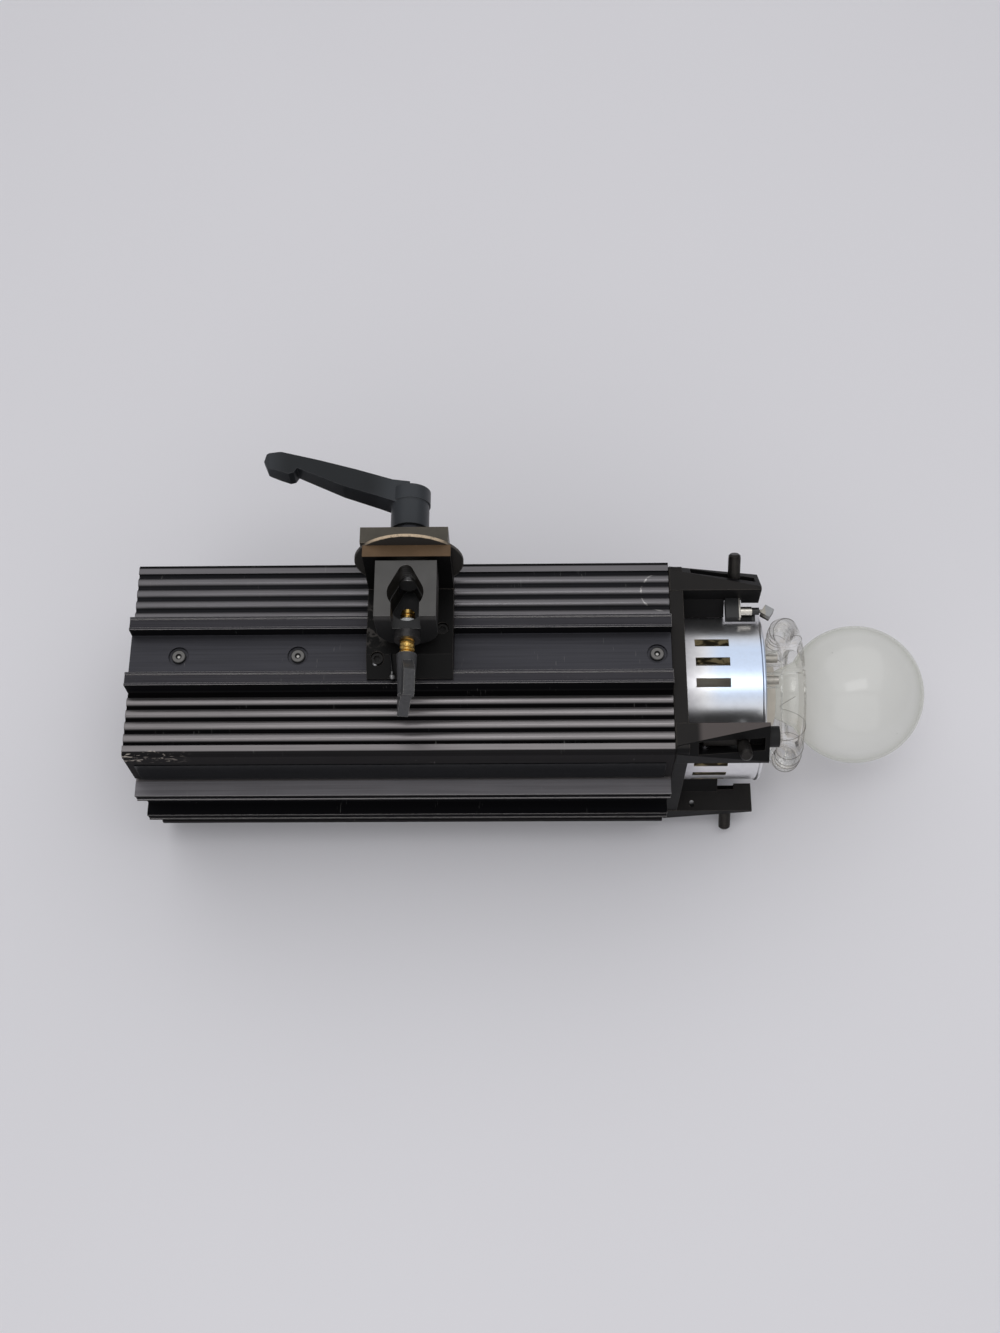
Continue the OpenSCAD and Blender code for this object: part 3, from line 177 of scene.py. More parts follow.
class Paint(Board):
    """The nodes of one finish."""

    def __init__(self, name):
        self.material = bpy.data.materials.new(name)
        self.material.use_nodes = True
        super().__init__(self.material.node_tree)
        self.tree.nodes.clear()
        self.place = self.add("ShaderNodeTexCoord", out="Object")

    def at(self, axis):
        """The place along one axis, in mm."""
        return self.add("ShaderNodeSeparateXYZ", None, self.place, out=axis) * (1 / MM)

    def stretched(self, x, y, z, turn=(0.0, 0.0, 0.0)):
        """Places scaled along each axis, so that noise on them is drawn out where the scale is small."""
        return self.add("ShaderNodeMapping", None, self.place, None, turn, (x, y, z))

    def cloud(self, size_mm, detail=3.0, place=None, warp=0.0):
        """Soft noise around 0.5 whose blots are about size_mm wide."""
        return self.add("ShaderNodeTexNoise", None, place or self.place, Scale=1 / (size_mm * MM),
                        Detail=detail, Roughness=0.55, Distortion=warp)

    def cells(self, size_mm):
        """The distance to the nearest of scattered points, in shares of size_mm."""
        return self.add("ShaderNodeTexVoronoi", None, self.place, Scale=1 / (size_mm * MM))

    def mix(self, factor, a, b, blend="MIX"):
        settings = {"data_type": "RGBA", "blend_type": blend}
        return self.add("ShaderNodeMix", settings, factor, None, None, None, None, None, a, b, out=2)

    def rounded(self, edge_mm):
        """The surface's direction with its edges rounded off."""
        return self.add("ShaderNodeBevel", {"samples": 4}, edge_mm * MM)

    def facing(self, direction):
        """How far the surface faces that way, from -1 to 1."""
        normal = self.add("ShaderNodeNewGeometry", out="Normal")
        return self.add("ShaderNodeVectorMath", {"operation": "DOT_PRODUCT"}, normal, direction, out="Value")

    def outwards(self):
        """1 where a surface faces away from the strobe's long axis, and -1 where it faces the axis."""
        flat = self.add("ShaderNodeVectorMath", {"operation": "MULTIPLY"}, self.place, (0.0, 1.0, 1.0))
        return self.facing(self.add("ShaderNodeVectorMath", {"operation": "NORMALIZE"}, flat))

    def edges(self, rounded):
        """0 on flat faces, towards 1 at sharp outer edges and inner corners."""
        return ((1.0 - self.facing(rounded)) * 5.0).held()

    def worn_edges(self, rounded, broad, low, high):
        """1 at edges, broken up by broad and fine noise, from the level high up."""
        fine = self.cloud(2.2, 2.0)
        return (self.edges(rounded) + (broad - 0.5) * 0.9 + (fine - 0.5) * 0.7).ramp(low, high)

    def bump(self, height, depth_mm, normal=None):
        return self.add("ShaderNodeBump", None, Strength=1.0, Distance=depth_mm * MM, Height=height,
                        Normal=normal)

    def scratches(self, amount, size_mm=9.0, turn=0.5):
        """Hairlines, a few millimetres long, on a few patches."""
        lines = self.cloud(0.5, 1.0, self.stretched(1.0, 0.05, 0.05, (0.0, 0.0, turn)), warp=0.4)
        patch = self.cloud(size_mm, 2.0)
        return lines.ramp(0.71, 0.74) * patch.ramp(0.56, 0.64) * amount

    def finish(self, **sockets):
        """Ends the tree in one surface with these sockets set."""
        body = self.add("ShaderNodeBsdfPrincipled", None, **sockets, out="BSDF")
        self.add("ShaderNodeOutputMaterial", None, body)
        return self.material


def hard(name, tone, rough, metal=0.0, cloud=0.12, cloud_mm=14.0, grain=0.02, grain_mm=0.5, worn=None,
         edge=0.35, wear=0.5, scratch=0.0, coat=0.0, drawn=None, specular=0.28):
    """A finish on metal or plastic: clouded tone, fine grain, rounded and worn edges, scratches, drawn lines.
    Drawn is a height, a width in mm and the stretch of its lines."""
    p = Paint(name)
    broad = p.cloud(cloud_mm, 4.0)
    fine = p.cloud(grain_mm, 2.0)
    colour = p.mix(broad, shade(tone, 1 - cloud), shade(tone, 1 + cloud))
    smooth = rough * (0.8 + broad * 0.4)
    height = fine * grain
    if drawn:
        deep, width_mm, stretch = drawn
        lines = p.cloud(width_mm, 2.0, p.stretched(*stretch))
        height = height + lines * deep
        smooth = smooth + (lines - 0.5) * 0.12
    normal = p.rounded(edge) if edge else None
    if worn:
        colour = p.mix(p.worn_edges(normal, broad, 1.0 - wear, 1.25 - wear), colour, worn)
    if scratch:
        colour = p.mix(p.scratches(scratch), colour, worn)
    return p.finish(Base_Color=colour, Roughness=smooth.held(), Metallic=metal, Coat_Weight=coat,
                    Coat_Roughness=0.1, Specular_IOR_Level=specular, Normal=p.bump(height, 1.0, normal))


def corner_scuffs(p):
    """Short scrapes down to bare metal, at the rear near corner."""
    corner = p.at("X").ramp(-268.0, -292.0) * p.at("Y").ramp(-54.4, -55.4) * p.at("Z").ramp(46.0, 52.0)
    return corner * p.cloud(2.4, 3.0, p.stretched(0.45, 1.0, 1.0), warp=1.2).ramp(0.56, 0.62)


def curved_scratch(p):
    """A part circle that something scratched over the far fins, beside the bezel."""
    x, y = p.at("X") + 11.5, p.at("Y") - 38.5
    radius = (x * x + y * y) ** 0.5 + (p.cloud(6.0, 2.0) - 0.5) * 3.0
    left_half = p.at("X").ramp(-11.0, -13.5)
    arc = radius.inside(11.6, 12.3, 0.25) * left_half * p.at("Z").ramp(FIN_TOP - 1.4, FIN_TOP - 0.4)
    return arc * p.cloud(3.0, 2.0).ramp(0.36, 0.48)


def anodised_case():
    """Black anodised extrusion: fins painted pale as highlights, painted shade in grooves and on side faces,
    painted highlights and wear on its rail lips, and scuffs.
    """
    p = Paint("case_anodising")
    broad = p.cloud(26.0, 4.0)
    streaks = p.cloud(1.2, 3.0, p.stretched(0.015, 1, 1))
    fine = p.cloud(0.4, 2.0)
    y, z = abs(p.at("Y")), abs(p.at("Z"))
    out, across = y.most(z), y.least(z)
    upwards = p.facing((0, 0, 1))
    rail = out.ramp(FIN_TOP + 0.6, FIN_TOP + 1.4)
    channel = across.ramp(CHANNEL_HALF + 0.4, CHANNEL_HALF - 0.4)
    # Painted highlight: the fins are painted paler than the rails; the far mask below paints the far fins
    # less pale and their grooves less dark, as painted light
    tone = p.mix(rail, srgb(142, 138, 139), srgb(64, 63, 67))
    far = p.at("Y").ramp(10.0, 24.0)
    tone = p.mix(far * (1.0 - rail), tone, srgb(118, 116, 119))
    tone = p.mix(channel, tone, srgb(72, 72, 77))
    # Painted shade: faces that look sideways, the corners and the underside are painted near black
    side = abs(p.facing((0, 1, 0))).ramp(0.45, 0.9)
    # Painted light: the upward faces of the upper side rails are painted paler, as if lit
    ledge = rail * (y > z) * (p.at("Z") > 0.0) * upwards.ramp(0.7, 0.95)
    tone = p.mix(ledge, tone, srgb(128, 126, 130))
    corner = across.ramp(CASE_CORNER - 0.1, CASE_CORNER + 0.7)
    under = (p.at("Z") < 0.0) * (y > z)
    shaded = (side * 0.92).most(corner * 0.95).most(under * 0.92)
    tone = p.mix(shaded, tone, srgb(13, 13, 15))
    # Painted shade in the grooves between the fins, less dark on the far side; the groove mask also makes
    # them rougher and less metallic
    groove = out.ramp(FIN_TOP - 0.5, FIN_TOP - 1.65)
    tone = p.mix(groove, tone, p.mix(far, srgb(13, 12, 13), srgb(42, 42, 45)))
    # Painted shade on the rails' upright faces beside the channel
    foot = out.inside(FIN_TOP - 1.0, RAIL_TOP - 0.2) * across.inside(CHANNEL_HALF - 0.2, CHANNEL_HALF + 8.6)
    foot = foot * (1.0 - abs(upwards).ramp(0.6, 0.9))
    tone = p.mix(foot * 0.6, tone, srgb(20, 20, 22))
    colour = p.mix(broad, shade(WHITE, 0.86), WHITE)
    colour = p.mix(1.0, tone, colour, "MULTIPLY")
    colour = p.mix(streaks.ramp(0.35, 0.75) * 0.22, colour, srgb(28, 27, 29))
    normal = p.rounded(0.6)
    # Painted highlight mixed with wear: a pale line along the rail lips, brightest where they look up
    lip = p.edges(normal).ramp(0.1, 0.6) * out.ramp(RAIL_TOP - 0.6, RAIL_TOP) * (upwards.held() * 0.6 + 0.4)
    colour = p.mix(lip * 0.85, colour, srgb(190, 187, 186))
    scuffs = corner_scuffs(p)
    colour = p.mix(scuffs * 0.8, colour, srgb(176, 168, 160))
    colour = p.mix(curved_scratch(p) * 0.75, colour, srgb(186, 184, 182))
    colour = p.mix(p.scratches(0.35, 16.0, 0.4), colour, srgb(150, 148, 146))
    rough = 0.34 + (broad - 0.5) * 0.1 + (streaks - 0.5) * 0.1 + channel * 0.1 + scuffs * 0.2 + groove * 0.3
    metal = (0.85 - groove * 0.5 - shaded * 0.85 - ledge * 0.5).held()
    return p.finish(Base_Color=colour, Roughness=rough.held(), Metallic=metal, Specular_IOR_Level=0.0,
                    Normal=p.bump(fine * 0.008 + streaks * 0.012, 1.0, normal))


def polished_can():
    """Spun and polished: fine rings round its axis, clouded where it is worn, dull towards the bezel."""
    p = Paint("can_polish")
    rings = p.cloud(0.8, 2.0, p.stretched(1, 0.05, 0.05))
    broad = p.cloud(22.0, 3.0, warp=0.6)
    small = p.cloud(3.2, 4.0)
    x, y = p.at("X"), p.at("Y")
    # Painted reflection: blue-white across the can's middle, in front of the bezel
    blue = abs(y + 4.0).ramp(26.0, 10.0) * x.ramp(8.0, 22.0)
    tone = p.mix(broad, srgb(226, 226, 228), srgb(238, 238, 240))
    tone = p.mix(blue, tone, srgb(212, 227, 250))
    dull = (x.ramp(14.0, 2.0) * 0.5 + (small - 0.45) * 0.35 + y.ramp(6.0, 40.0) * 0.12).held()
    tone = p.mix(dull, tone, srgb(164, 162, 168))
    inner = x.inside(CAN_REAR + 2.0, CAN_FRONT - 1.0) * (1.0 - p.outwards().ramp(-0.2, 0.4))
    tone = p.mix(inner, tone, srgb(60, 56, 46))
    # Painted light: the can's inside wall glows in warm streaks, seen through its slots
    streaked = p.cloud(5.0, 3.0, p.stretched(0.5, 1.0, 1.0), warp=0.8).ramp(0.48, 0.6)
    within = p.mix(streaked, srgb(50, 46, 36), srgb(156, 142, 110))
    painted_light = p.mix(inner, srgb(0, 0, 0), within)
    rough = 0.3 + dull * 0.16 + (broad - 0.5) * 0.08 + inner * 0.3
    normal = p.rounded(0.3)
    height = rings * 0.01 + small * 0.008
    return p.finish(Base_Color=tone, Roughness=rough.held(), Metallic=1.0, Emission_Color=painted_light,
                    Emission_Strength=0.3, Normal=p.bump(height, 1.0, normal))


def milk_glass():
    """The lamp's frosted envelope: flat, as it glows with painted light in its own tone, and partly clear at
    its rim.
    """
    p = Paint("globe_frost")
    broad = p.cloud(30.0, 2.0)
    tone = p.mix(broad, srgb(177, 177, 175), srgb(184, 184, 182))
    neck = p.at("X").ramp(66.0, 54.0)
    tone = p.mix(neck * 0.4, tone, srgb(160, 160, 154))
    specks = p.cells(7.0).ramp(0.07, 0.05) * p.cloud(18.0, 1.0).ramp(0.58, 0.62)
    tone = p.mix(specks * 0.4, tone, srgb(120, 120, 112))
    rough = 0.24 + (broad - 0.5) * 0.08 + specks * 0.3
    facing = p.add("ShaderNodeLayerWeight", None, 0.5, out="Facing")
    # Painted light: the envelope glows in its own tone
    body = p.add("ShaderNodeBsdfPrincipled", None, out="BSDF", Base_Color=tone, Roughness=rough.held(),
                 Coat_Weight=(1.0 - facing.ramp(0.3, 0.7)) * 0.9, Coat_Roughness=0.12, Specular_IOR_Level=0.0,
                 Emission_Color=tone, Emission_Strength=0.44, Normal=p.bump(p.cloud(1.2, 2.0), 0.003))
    through = p.add("ShaderNodeBsdfTransparent", None, srgb(250, 251, 247))
    seen = p.add("ShaderNodeMixShader", None, (facing.ramp(0.45, 0.98) * 0.72 + 0.05).held(), body, through)
    p.add("ShaderNodeOutputMaterial", None, seen)
    return p.material


def clear_glass():
    """Glass as a thin wall: it shows what is behind it, and gains gloss and a grey line at its rims."""
    p = Paint("tube_glass")
    facing = p.add("ShaderNodeLayerWeight", None, 0.35, out="Facing")
    gloss = p.add("ShaderNodeLayerWeight", None, 0.18, out="Fresnel")
    ends = abs(p.at("Y")).ramp(22.0, 36.0)
    tint = p.mix(facing.ramp(0.75, 1.0), srgb(255, 255, 254), srgb(238, 236, 233))
    tint = p.mix(ends * p.cloud(7.0, 3.0).ramp(0.4, 0.7) * 0.5, tint, srgb(244, 237, 224))
    through = p.add("ShaderNodeBsdfTransparent", None, tint)
    shine = p.add("ShaderNodeBsdfGlossy", None, (1, 1, 1, 1), 0.05)
    wavy = p.bump(p.cloud(9.0, 2.0), 0.05)
    p.tree.links.new(wavy.socket, shine.socket.node.inputs["Normal"])
    body = p.add("ShaderNodeMixShader", None, (gloss * 0.7 + 0.03).held(), through, shine)
    p.add("ShaderNodeOutputMaterial", None, body)
    return p.material


def zoned(name, zones, axis, rough, strip=None):
    """One piece of several materials along an axis: each zone is its end in mm, a colour and how metallic it
    is. A strip lies under a height, and has a colour of its own."""
    p = Paint(name)
    place = p.at(axis)
    fine = p.cloud(1.2, 3.0)
    colour, shiny = zones[-1][1], zones[-1][2]
    for end, tone, share in zones[-2::-1]:
        before = place < end
        colour = p.mix(before, colour, tone)
        shiny = shiny + before * (share - shiny)
    if strip:
        colour = p.mix(p.at("Z") < strip[0], colour, strip[1])
    colour = p.mix(fine * 0.3, colour, srgb(60, 60, 60))
    return p.finish(Base_Color=colour, Roughness=rough + (fine - 0.5) * 0.15, Metallic=shiny,
                    Normal=p.bump(fine * 0.02, 1.0, p.rounded(0.3)))


def cast_bezel():
    """Black paint on a casting: deep on upright faces; paler on those that look up, as a painted sheen, and
    worn at the edges, most where they look up.
    """
    p = Paint("bezel_paint")
    broad = p.cloud(16.0, 4.0)
    fine = p.cloud(0.7, 2.0)
    # Painted sheen: faces that look up, and most of all the near arm's top, are painted paler
    up = p.facing((0, 0, 1)).ramp(0.8, 0.96)
    tone = p.mix(broad, srgb(13, 13, 14), srgb(19, 18, 19))
    painted_light = p.mix(broad, srgb(30, 29, 29), srgb(42, 40, 39))
    near = p.at("Y").ramp(-24.0, -32.0) * p.at("X").ramp(4.0, 8.0) * p.at("Z").ramp(26.0, 32.0)
    painted_light = p.mix(near, painted_light, srgb(88, 82, 81))
    tone = p.mix(up, tone, painted_light)
    normal = p.rounded(0.5)
    rim = p.worn_edges(normal, broad, 0.5, 0.85)
    tone = p.mix(rim * (up * 0.6 + 0.4), tone, srgb(104, 99, 94))
    rough = 0.44 + (broad - 0.5) * 0.16 + (1.0 - up) * 0.1
    return p.finish(Base_Color=tone, Roughness=rough.held(), Metallic=0.1, Specular_IOR_Level=0.12,
                    Normal=p.bump(fine * 0.04, 1.0, normal))


def socket_heads():
    """Round screw heads: painted shade as a dark rim in their recess, a grey face, and a painted glint as a
    bright point in the hexagon.
    """
    p = Paint("channel_screw_heads")
    along = (p.at("X") - (SCREW_FIRST - SCREW_STEP / 2)) % SCREW_STEP - SCREW_STEP / 2
    across = p.at("Y")
    radius = (along * along + across * across) ** 0.5
    fine = p.cloud(0.6, 2.0)
    # Painted shade around and inside the grey face, and a painted glint at the hexagon's centre
    face = radius.inside(1.7, 3.4, 0.15)
    point = radius.ramp(0.9, 0.6)
    tone = p.mix(face, srgb(18, 18, 19), p.mix(fine, srgb(96, 95, 95), srgb(128, 126, 124)))
    tone = p.mix(point, tone, srgb(200, 198, 194))
    return p.finish(Base_Color=tone, Roughness=0.4 + fine * 0.15, Metallic=0.3 + face * 0.5,
                    Normal=p.bump(fine * 0.02, 1.0, p.rounded(0.3)))


def flanged_bush():
    """White where the screw enters the socket's hole, grey outside the socket."""
    p = Paint("bush_moulding")
    inner = p.at("Y").ramp(-2.2, -1.8)
    fine = p.cloud(1.5, 3.0)
    tone = p.mix(inner, srgb(54, 53, 54), srgb(232, 234, 236))
    tone = p.mix(fine.ramp(0.4, 0.8) * 0.4, tone, srgb(88, 86, 84))
    return p.finish(Base_Color=tone, Roughness=0.34 + fine * 0.1, Metallic=(1.0 - inner) * 0.5,
                    Normal=p.bump(fine * 0.02, 1.0, p.rounded(0.4)))


def board_lacquer():
    """Green lacquer with copper tracks and pads under it."""
    p = Paint("board_lacquer")
    ground = p.mix(p.cloud(20.0, 3.0), srgb(16, 66, 32), srgb(24, 84, 42))
    upright = p.stretched(1, 1, 1, (0.0, math.pi / 2, 0.0))
    brick = p.add("ShaderNodeTexBrick", {"offset": 0.35}, upright, Scale=150.0, Mortar_Size=0.05, out="Fac")
    tracks = brick * p.cloud(9.0, 1.0).ramp(0.46, 0.5)
    pads = p.cells(5.0).ramp(0.2, 0.16)
    tone = p.mix(tracks * 0.7, ground, srgb(70, 130, 60))
    tone = p.mix(pads, tone, srgb(170, 168, 160))
    return p.finish(Base_Color=tone, Roughness=0.3 + pads * 0.2, Metallic=pads * 0.8, Coat_Weight=0.4,
                    Normal=p.bump(tracks + pads, 0.05))


def wound_copper():
    """Enamelled wire laid turn by turn, on plates of iron."""
    p = Paint("coil_winding")
    turns = (p.at("X") * 7.0).wave()
    laminations = (p.at("Z") * 9.0).wave()
    iron = abs(p.facing((0, 0, 1))).ramp(0.5, 0.6)
    tone = p.mix(p.cloud(4.0, 2.0), srgb(120, 62, 30), srgb(160, 92, 46))
    tone = p.mix(iron, tone, srgb(70, 68, 66))
    height = turns * (1.0 - iron) + laminations * iron * 0.4
    return p.finish(Base_Color=tone, Roughness=0.34 + p.cloud(6.0) * 0.2, Metallic=0.3, Coat_Weight=0.5,
                    Normal=p.bump(height, 0.12))


def tinted(name, tone, dark):
    """A clear coloured moulding with ribs cast on its inside."""
    p = Paint(name)
    ribs = (p.at("Y") * 3.0).wave() * 0.5 + 0.5
    colour = p.mix(ribs * 0.6 + p.cloud(3.0) * 0.3, tone, dark)
    return p.finish(Base_Color=colour, Roughness=0.08 + p.cloud(4.0) * 0.08, Coat_Weight=0.8,
                    Normal=p.bump(p.cloud(5.0, 2.0), 0.02))


def worn_plate():
    """The bracket's steel: dark lacquer, brown where its top rubs, a pale patch on its base."""
    p = Paint("bracket_lacquer")
    broad = p.cloud(10.0, 4.0)
    fine = p.cloud(0.7, 3.0)
    tone = p.mix(broad, srgb(11, 11, 11), srgb(20, 19, 19))
    normal = p.rounded(0.5)
    rim = (p.edges(normal) + (broad - 0.5) * 0.9 + (fine - 0.5) * 0.5).ramp(0.6, 0.95)
    tone = p.mix(rim * 0.7, tone, srgb(118, 110, 104))
    top = p.at("Z").ramp(BRACKET_TOP - 0.6, BRACKET_TOP)
    tone = p.mix(top * (0.5 + broad * 0.6).held(), tone, srgb(112, 90, 68))
    flat_base = p.facing((0, 0, 1)).ramp(0.6, 0.9) * p.at("Z").ramp(90.0, 80.0)
    near_patch = p.at("X").ramp(-162.0, -168.0) * p.at("Y").inside(-2.0, 22.0, 4.0) * flat_base
    patch = near_patch * p.cloud(4.0, 4.0, warp=1.0).ramp(0.47, 0.58)
    tone = p.mix(patch * 0.4, tone, srgb(104, 99, 96))
    rough = 0.4 + (broad - 0.5) * 0.2 + patch * 0.15
    return p.finish(Base_Color=tone, Roughness=rough.held(), Metallic=0.05 + rim * 0.4,
                    Specular_IOR_Level=0.12, Normal=p.bump(fine * 0.03 + broad * 0.02, 1.0, normal))


def lever_enamel():
    """Slate enamel, darker along its middle than at the tip and round the hub."""
    p = Paint("lever_enamel")
    broad = p.cloud(22.0, 4.0)
    fine = p.cloud(1.2, 2.0)
    middle = p.at("X").inside(*LEVER_MIDDLE, 9.0)
    tone = p.mix(broad, srgb(50, 53, 57), srgb(62, 65, 69))
    tone = p.mix(middle, tone, p.mix(broad, srgb(28, 30, 33), srgb(36, 39, 42)))
    normal = p.rounded(0.8)
    rim = p.worn_edges(normal, broad, 0.7, 0.95)
    tone = p.mix(rim * 0.8, tone, srgb(98, 99, 102))
    rough = 0.4 + (broad - 0.5) * 0.2
    return p.finish(Base_Color=tone, Roughness=rough.held(), Metallic=0.1, Specular_IOR_Level=0.2,
                    Coat_Weight=0.05, Coat_Roughness=0.25, Normal=p.bump(fine * 0.015, 1.0, normal))


def pressed_fibre():
    """A dark disc whose rim is worn pale where it is uppermost."""
    p = Paint("disc_fibre")
    x, z = p.at("X") - BRACKET_X, p.at("Z") - AXIS_Z
    radius = (x * x + z * z) ** 0.5
    fine = p.cloud(0.8, 3.0)
    tone = p.mix(fine, srgb(26, 24, 23), srgb(46, 42, 38))
    ragged = (p.cloud(3.5, 3.0) - 0.5) * 1.6
    rim = (radius + (fine - 0.5) + ragged).ramp(DISC_R - 0.7, DISC_R)
    worn = rim * (z - abs(x) * 0.55).ramp(4.0, 18.0)
    tone = p.mix(rim * 0.5, tone, srgb(96, 92, 88))
    tone = p.mix(worn * (0.6 + fine * 0.6).held(), tone, srgb(206, 184, 156))
    return p.finish(Base_Color=tone, Roughness=0.62 + fine * 0.2, Normal=p.bump(fine, 0.05))


def turned_socket():
    """Black anodised block with tool marks, ribbed along the stand's bore."""
    p = Paint("socket_anodising")
    broad = p.cloud(9.0, 4.0)
    fine = p.cloud(0.5, 2.0)
    ribs = (p.at("Z") * 2.6).wave()
    upright = (1.0 - abs(p.facing((0, 0, 1)))).ramp(0.4, 0.7)
    bore = upright * p.at("Y").ramp(2.0, 4.0) * p.at("Y").ramp(28.0, 26.0)
    tone = p.mix(broad, srgb(72, 71, 70), srgb(90, 89, 88))
    tone = p.mix(p.at("Z").ramp(112.0, 108.0), tone, srgb(44, 44, 45))
    normal = p.rounded(0.4)
    rim = (p.edges(normal) + (broad - 0.5) * 0.8).ramp(0.6, 0.95)
    tone = p.mix(rim * 0.7, tone, srgb(150, 150, 148))
    # Painted shade: the upright faces in the bore are painted dark
    tone = p.mix(bore, tone, srgb(40, 38, 36))
    tone = p.mix(bore * ribs.ramp(0.2, 0.9) * 0.6, tone, srgb(104, 98, 90))
    height = fine * 0.02 + bore * ribs * 0.2
    return p.finish(Base_Color=tone, Roughness=0.38 + (broad - 0.5) * 0.2, Metallic=0.6,
                    Normal=p.bump(height, 1.0, normal))


def studio_floor():
    """Pale matt paper, a little uneven."""
    p = Paint("floor_paper")
    tone = p.mix(p.cloud(400.0, 2.0), srgb(234, 233, 238), srgb(238, 237, 242))
    return p.finish(Base_Color=tone, Roughness=0.75, Specular_IOR_Level=0.2)


FINISHES = {
    "black_anodised": anodised_case(),
    "band_black": hard("band_gloss", srgb(6, 8, 11), 0.22, cloud=0.2, cloud_mm=30, grain=0.002,
                       worn=srgb(84, 84, 86), edge=0.3, wear=0.3, scratch=0.25, coat=0.06, specular=0.06),
    "bezel_black": cast_bezel(),
    "panel_grey": hard("panel_paint", srgb(36, 36, 38), 0.5, grain=0.05, grain_mm=0.6,
                       worn=srgb(176, 174, 172), wear=0.3),
    "zinc_steel": hard("zinc", srgb(160, 160, 162), 0.36, 1.0, cloud=0.18, cloud_mm=3,
                       worn=srgb(205, 205, 205)),
    "dark_screw": hard("blackened_screw", srgb(88, 87, 87), 0.42, 0.9, cloud=0.3, cloud_mm=2.0, edge=0.25,
                       worn=srgb(150, 148, 145), wear=0.45),
    "black_plastic": hard("black_moulding", srgb(22, 22, 24), 0.42, grain_mm=0.4, edge=0.4,
                          worn=srgb(58, 58, 60)),
    "red_plastic": hard("red_moulding", srgb(176, 26, 18), 0.3, grain=0.004, edge=0.4, coat=0.3),
    "pale_plastic": hard("pale_moulding", srgb(206, 204, 198), 0.42, cloud=0.06, grain=0.01, edge=0.3),
    "green_lens": tinted("green_moulding", srgb(40, 170, 70), srgb(14, 90, 34)),
    "red_lens": tinted("red_dome", srgb(96, 10, 10), srgb(34, 4, 4)),
    "nickel": hard("nickel_plate", srgb(196, 190, 178), 0.2, 1.0, cloud=0.1, cloud_mm=4, grain=0.002,
                   edge=0.2),
    "circuit_board": board_lacquer(),
    "capacitor_sleeve": hard("blue_sleeve", srgb(44, 66, 108), 0.3, cloud=0.14, cloud_mm=30, grain=0.01,
                             grain_mm=3.0, edge=0.8, coat=0.4),
    "bare_aluminium": hard("sheet_aluminium", srgb(190, 190, 193), 0.38, 1.0, grain=0.004, edge=0.3,
                           drawn=(0.01, 0.5, (0.04, 1, 1))),
    "copper_coil": wound_copper(),
    "bright_can": polished_can(),
    "white_ceramic": hard("glazed_ceramic", srgb(214, 208, 198), 0.3, cloud=0.07, cloud_mm=9, grain=0.004,
                          edge=0.5, coat=0.4),
    "lamp_brass": hard("rolled_brass", srgb(200, 166, 96), 0.26, 1.0, cloud=0.15, cloud_mm=3, edge=0.3),
    "frosted_glass": milk_glass(),
    "filament": hard("lamp_inside", srgb(200, 202, 198), 0.3, cloud=0.05, cloud_mm=5, edge=0.2, coat=0.3),
    "clear_glass": clear_glass(),
    "electrode": hard("sintered_metal", srgb(178, 174, 168), 0.4, 0.9, cloud=0.3, cloud_mm=1.5,
                      grain=0.03, edge=0.2),
    "black_rubber": hard("rubber", srgb(20, 20, 21), 0.55, cloud=0.2, grain=0.03, edge=0.9,
                         worn=srgb(66, 64, 62)),
    "knurled_steel": hard("knurled_steel", srgb(44, 42, 41), 0.36, 0.8, cloud=0.35, cloud_mm=2.0, edge=0.2,
                          worn=srgb(140, 136, 130), wear=0.4),
    "spring_steel": hard("spring_wire", srgb(160, 160, 165), 0.3, 1.0, cloud=0.1, cloud_mm=3, edge=0.15),
    "bracket_black": worn_plate(),
    "friction_fibre": pressed_fibre(),
    "socket_black": turned_socket(),
    "plate_bronze": hard("bronze_anodising", srgb(80, 76, 69), 0.42, 0.45, cloud=0.25, cloud_mm=6,
                         grain=0.03, grain_mm=0.8, worn=srgb(136, 124, 112), edge=0.45, wear=0.4,
                         drawn=(0.02, 0.5, (0.1, 1, 1))),
    "white_nylon": hard("nylon", srgb(224, 218, 204), 0.4, cloud=0.05, grain=0.01, edge=0.4),
    "thumb_brass": hard("turned_brass", srgb(226, 188, 110), 0.3, 1.0, cloud=0.2, cloud_mm=2.5, edge=0.12),
    "lever_grey": lever_enamel(),
}
# Nodes that look unlike the rest of their slot
OWN_FINISH = {
    "clamp_insert": hard("collar_steel", srgb(52, 53, 57), 0.34, 0.8, cloud=0.2, cloud_mm=3, edge=0.3,
                         worn=srgb(150, 150, 150), wear=0.4),
    "thumb_bush": flanged_bush(),
    "wing_knob": hard("wing_moulding", srgb(66, 66, 68), 0.4, cloud=0.5, cloud_mm=1.6, grain=0.08,
                      grain_mm=0.8, edge=0.5, worn=srgb(168, 166, 162), wear=0.42),
    "bracket_screws": hard("bracket_screw", srgb(38, 37, 37), 0.42, 0.6, cloud=0.3, cloud_mm=2.0,
                           edge=0.25, worn=srgb(96, 94, 92), wear=0.4),
    "trigger_terminals": zoned("terminal_parts", (
        (32.0, srgb(28, 29, 31), 0.0), (39.6, srgb(214, 210, 202), 1.0), (44.0, srgb(16, 16, 18), 0.0),
        (47.0, srgb(176, 172, 164), 1.0), (99.0, srgb(166, 168, 170), 0.2)), "X", 0.32,
        strip=(42.3, srgb(30, 30, 31))),
    "channel_screws": socket_heads(),
}
SLOT_OF = {part["node"]: part["material_slot"] for part in RECORD["subparts"]}
for node, solid in NODES.items():
    for place in solid.material_slots:
        place.material = OWN_FINISH.get(node) or FINISHES[SLOT_OF[node]]


def linked(name, data):
    """A new object in the scene."""
    thing = bpy.data.objects.new(name, data)
    bpy.context.scene.collection.objects.link(thing)
    return thing


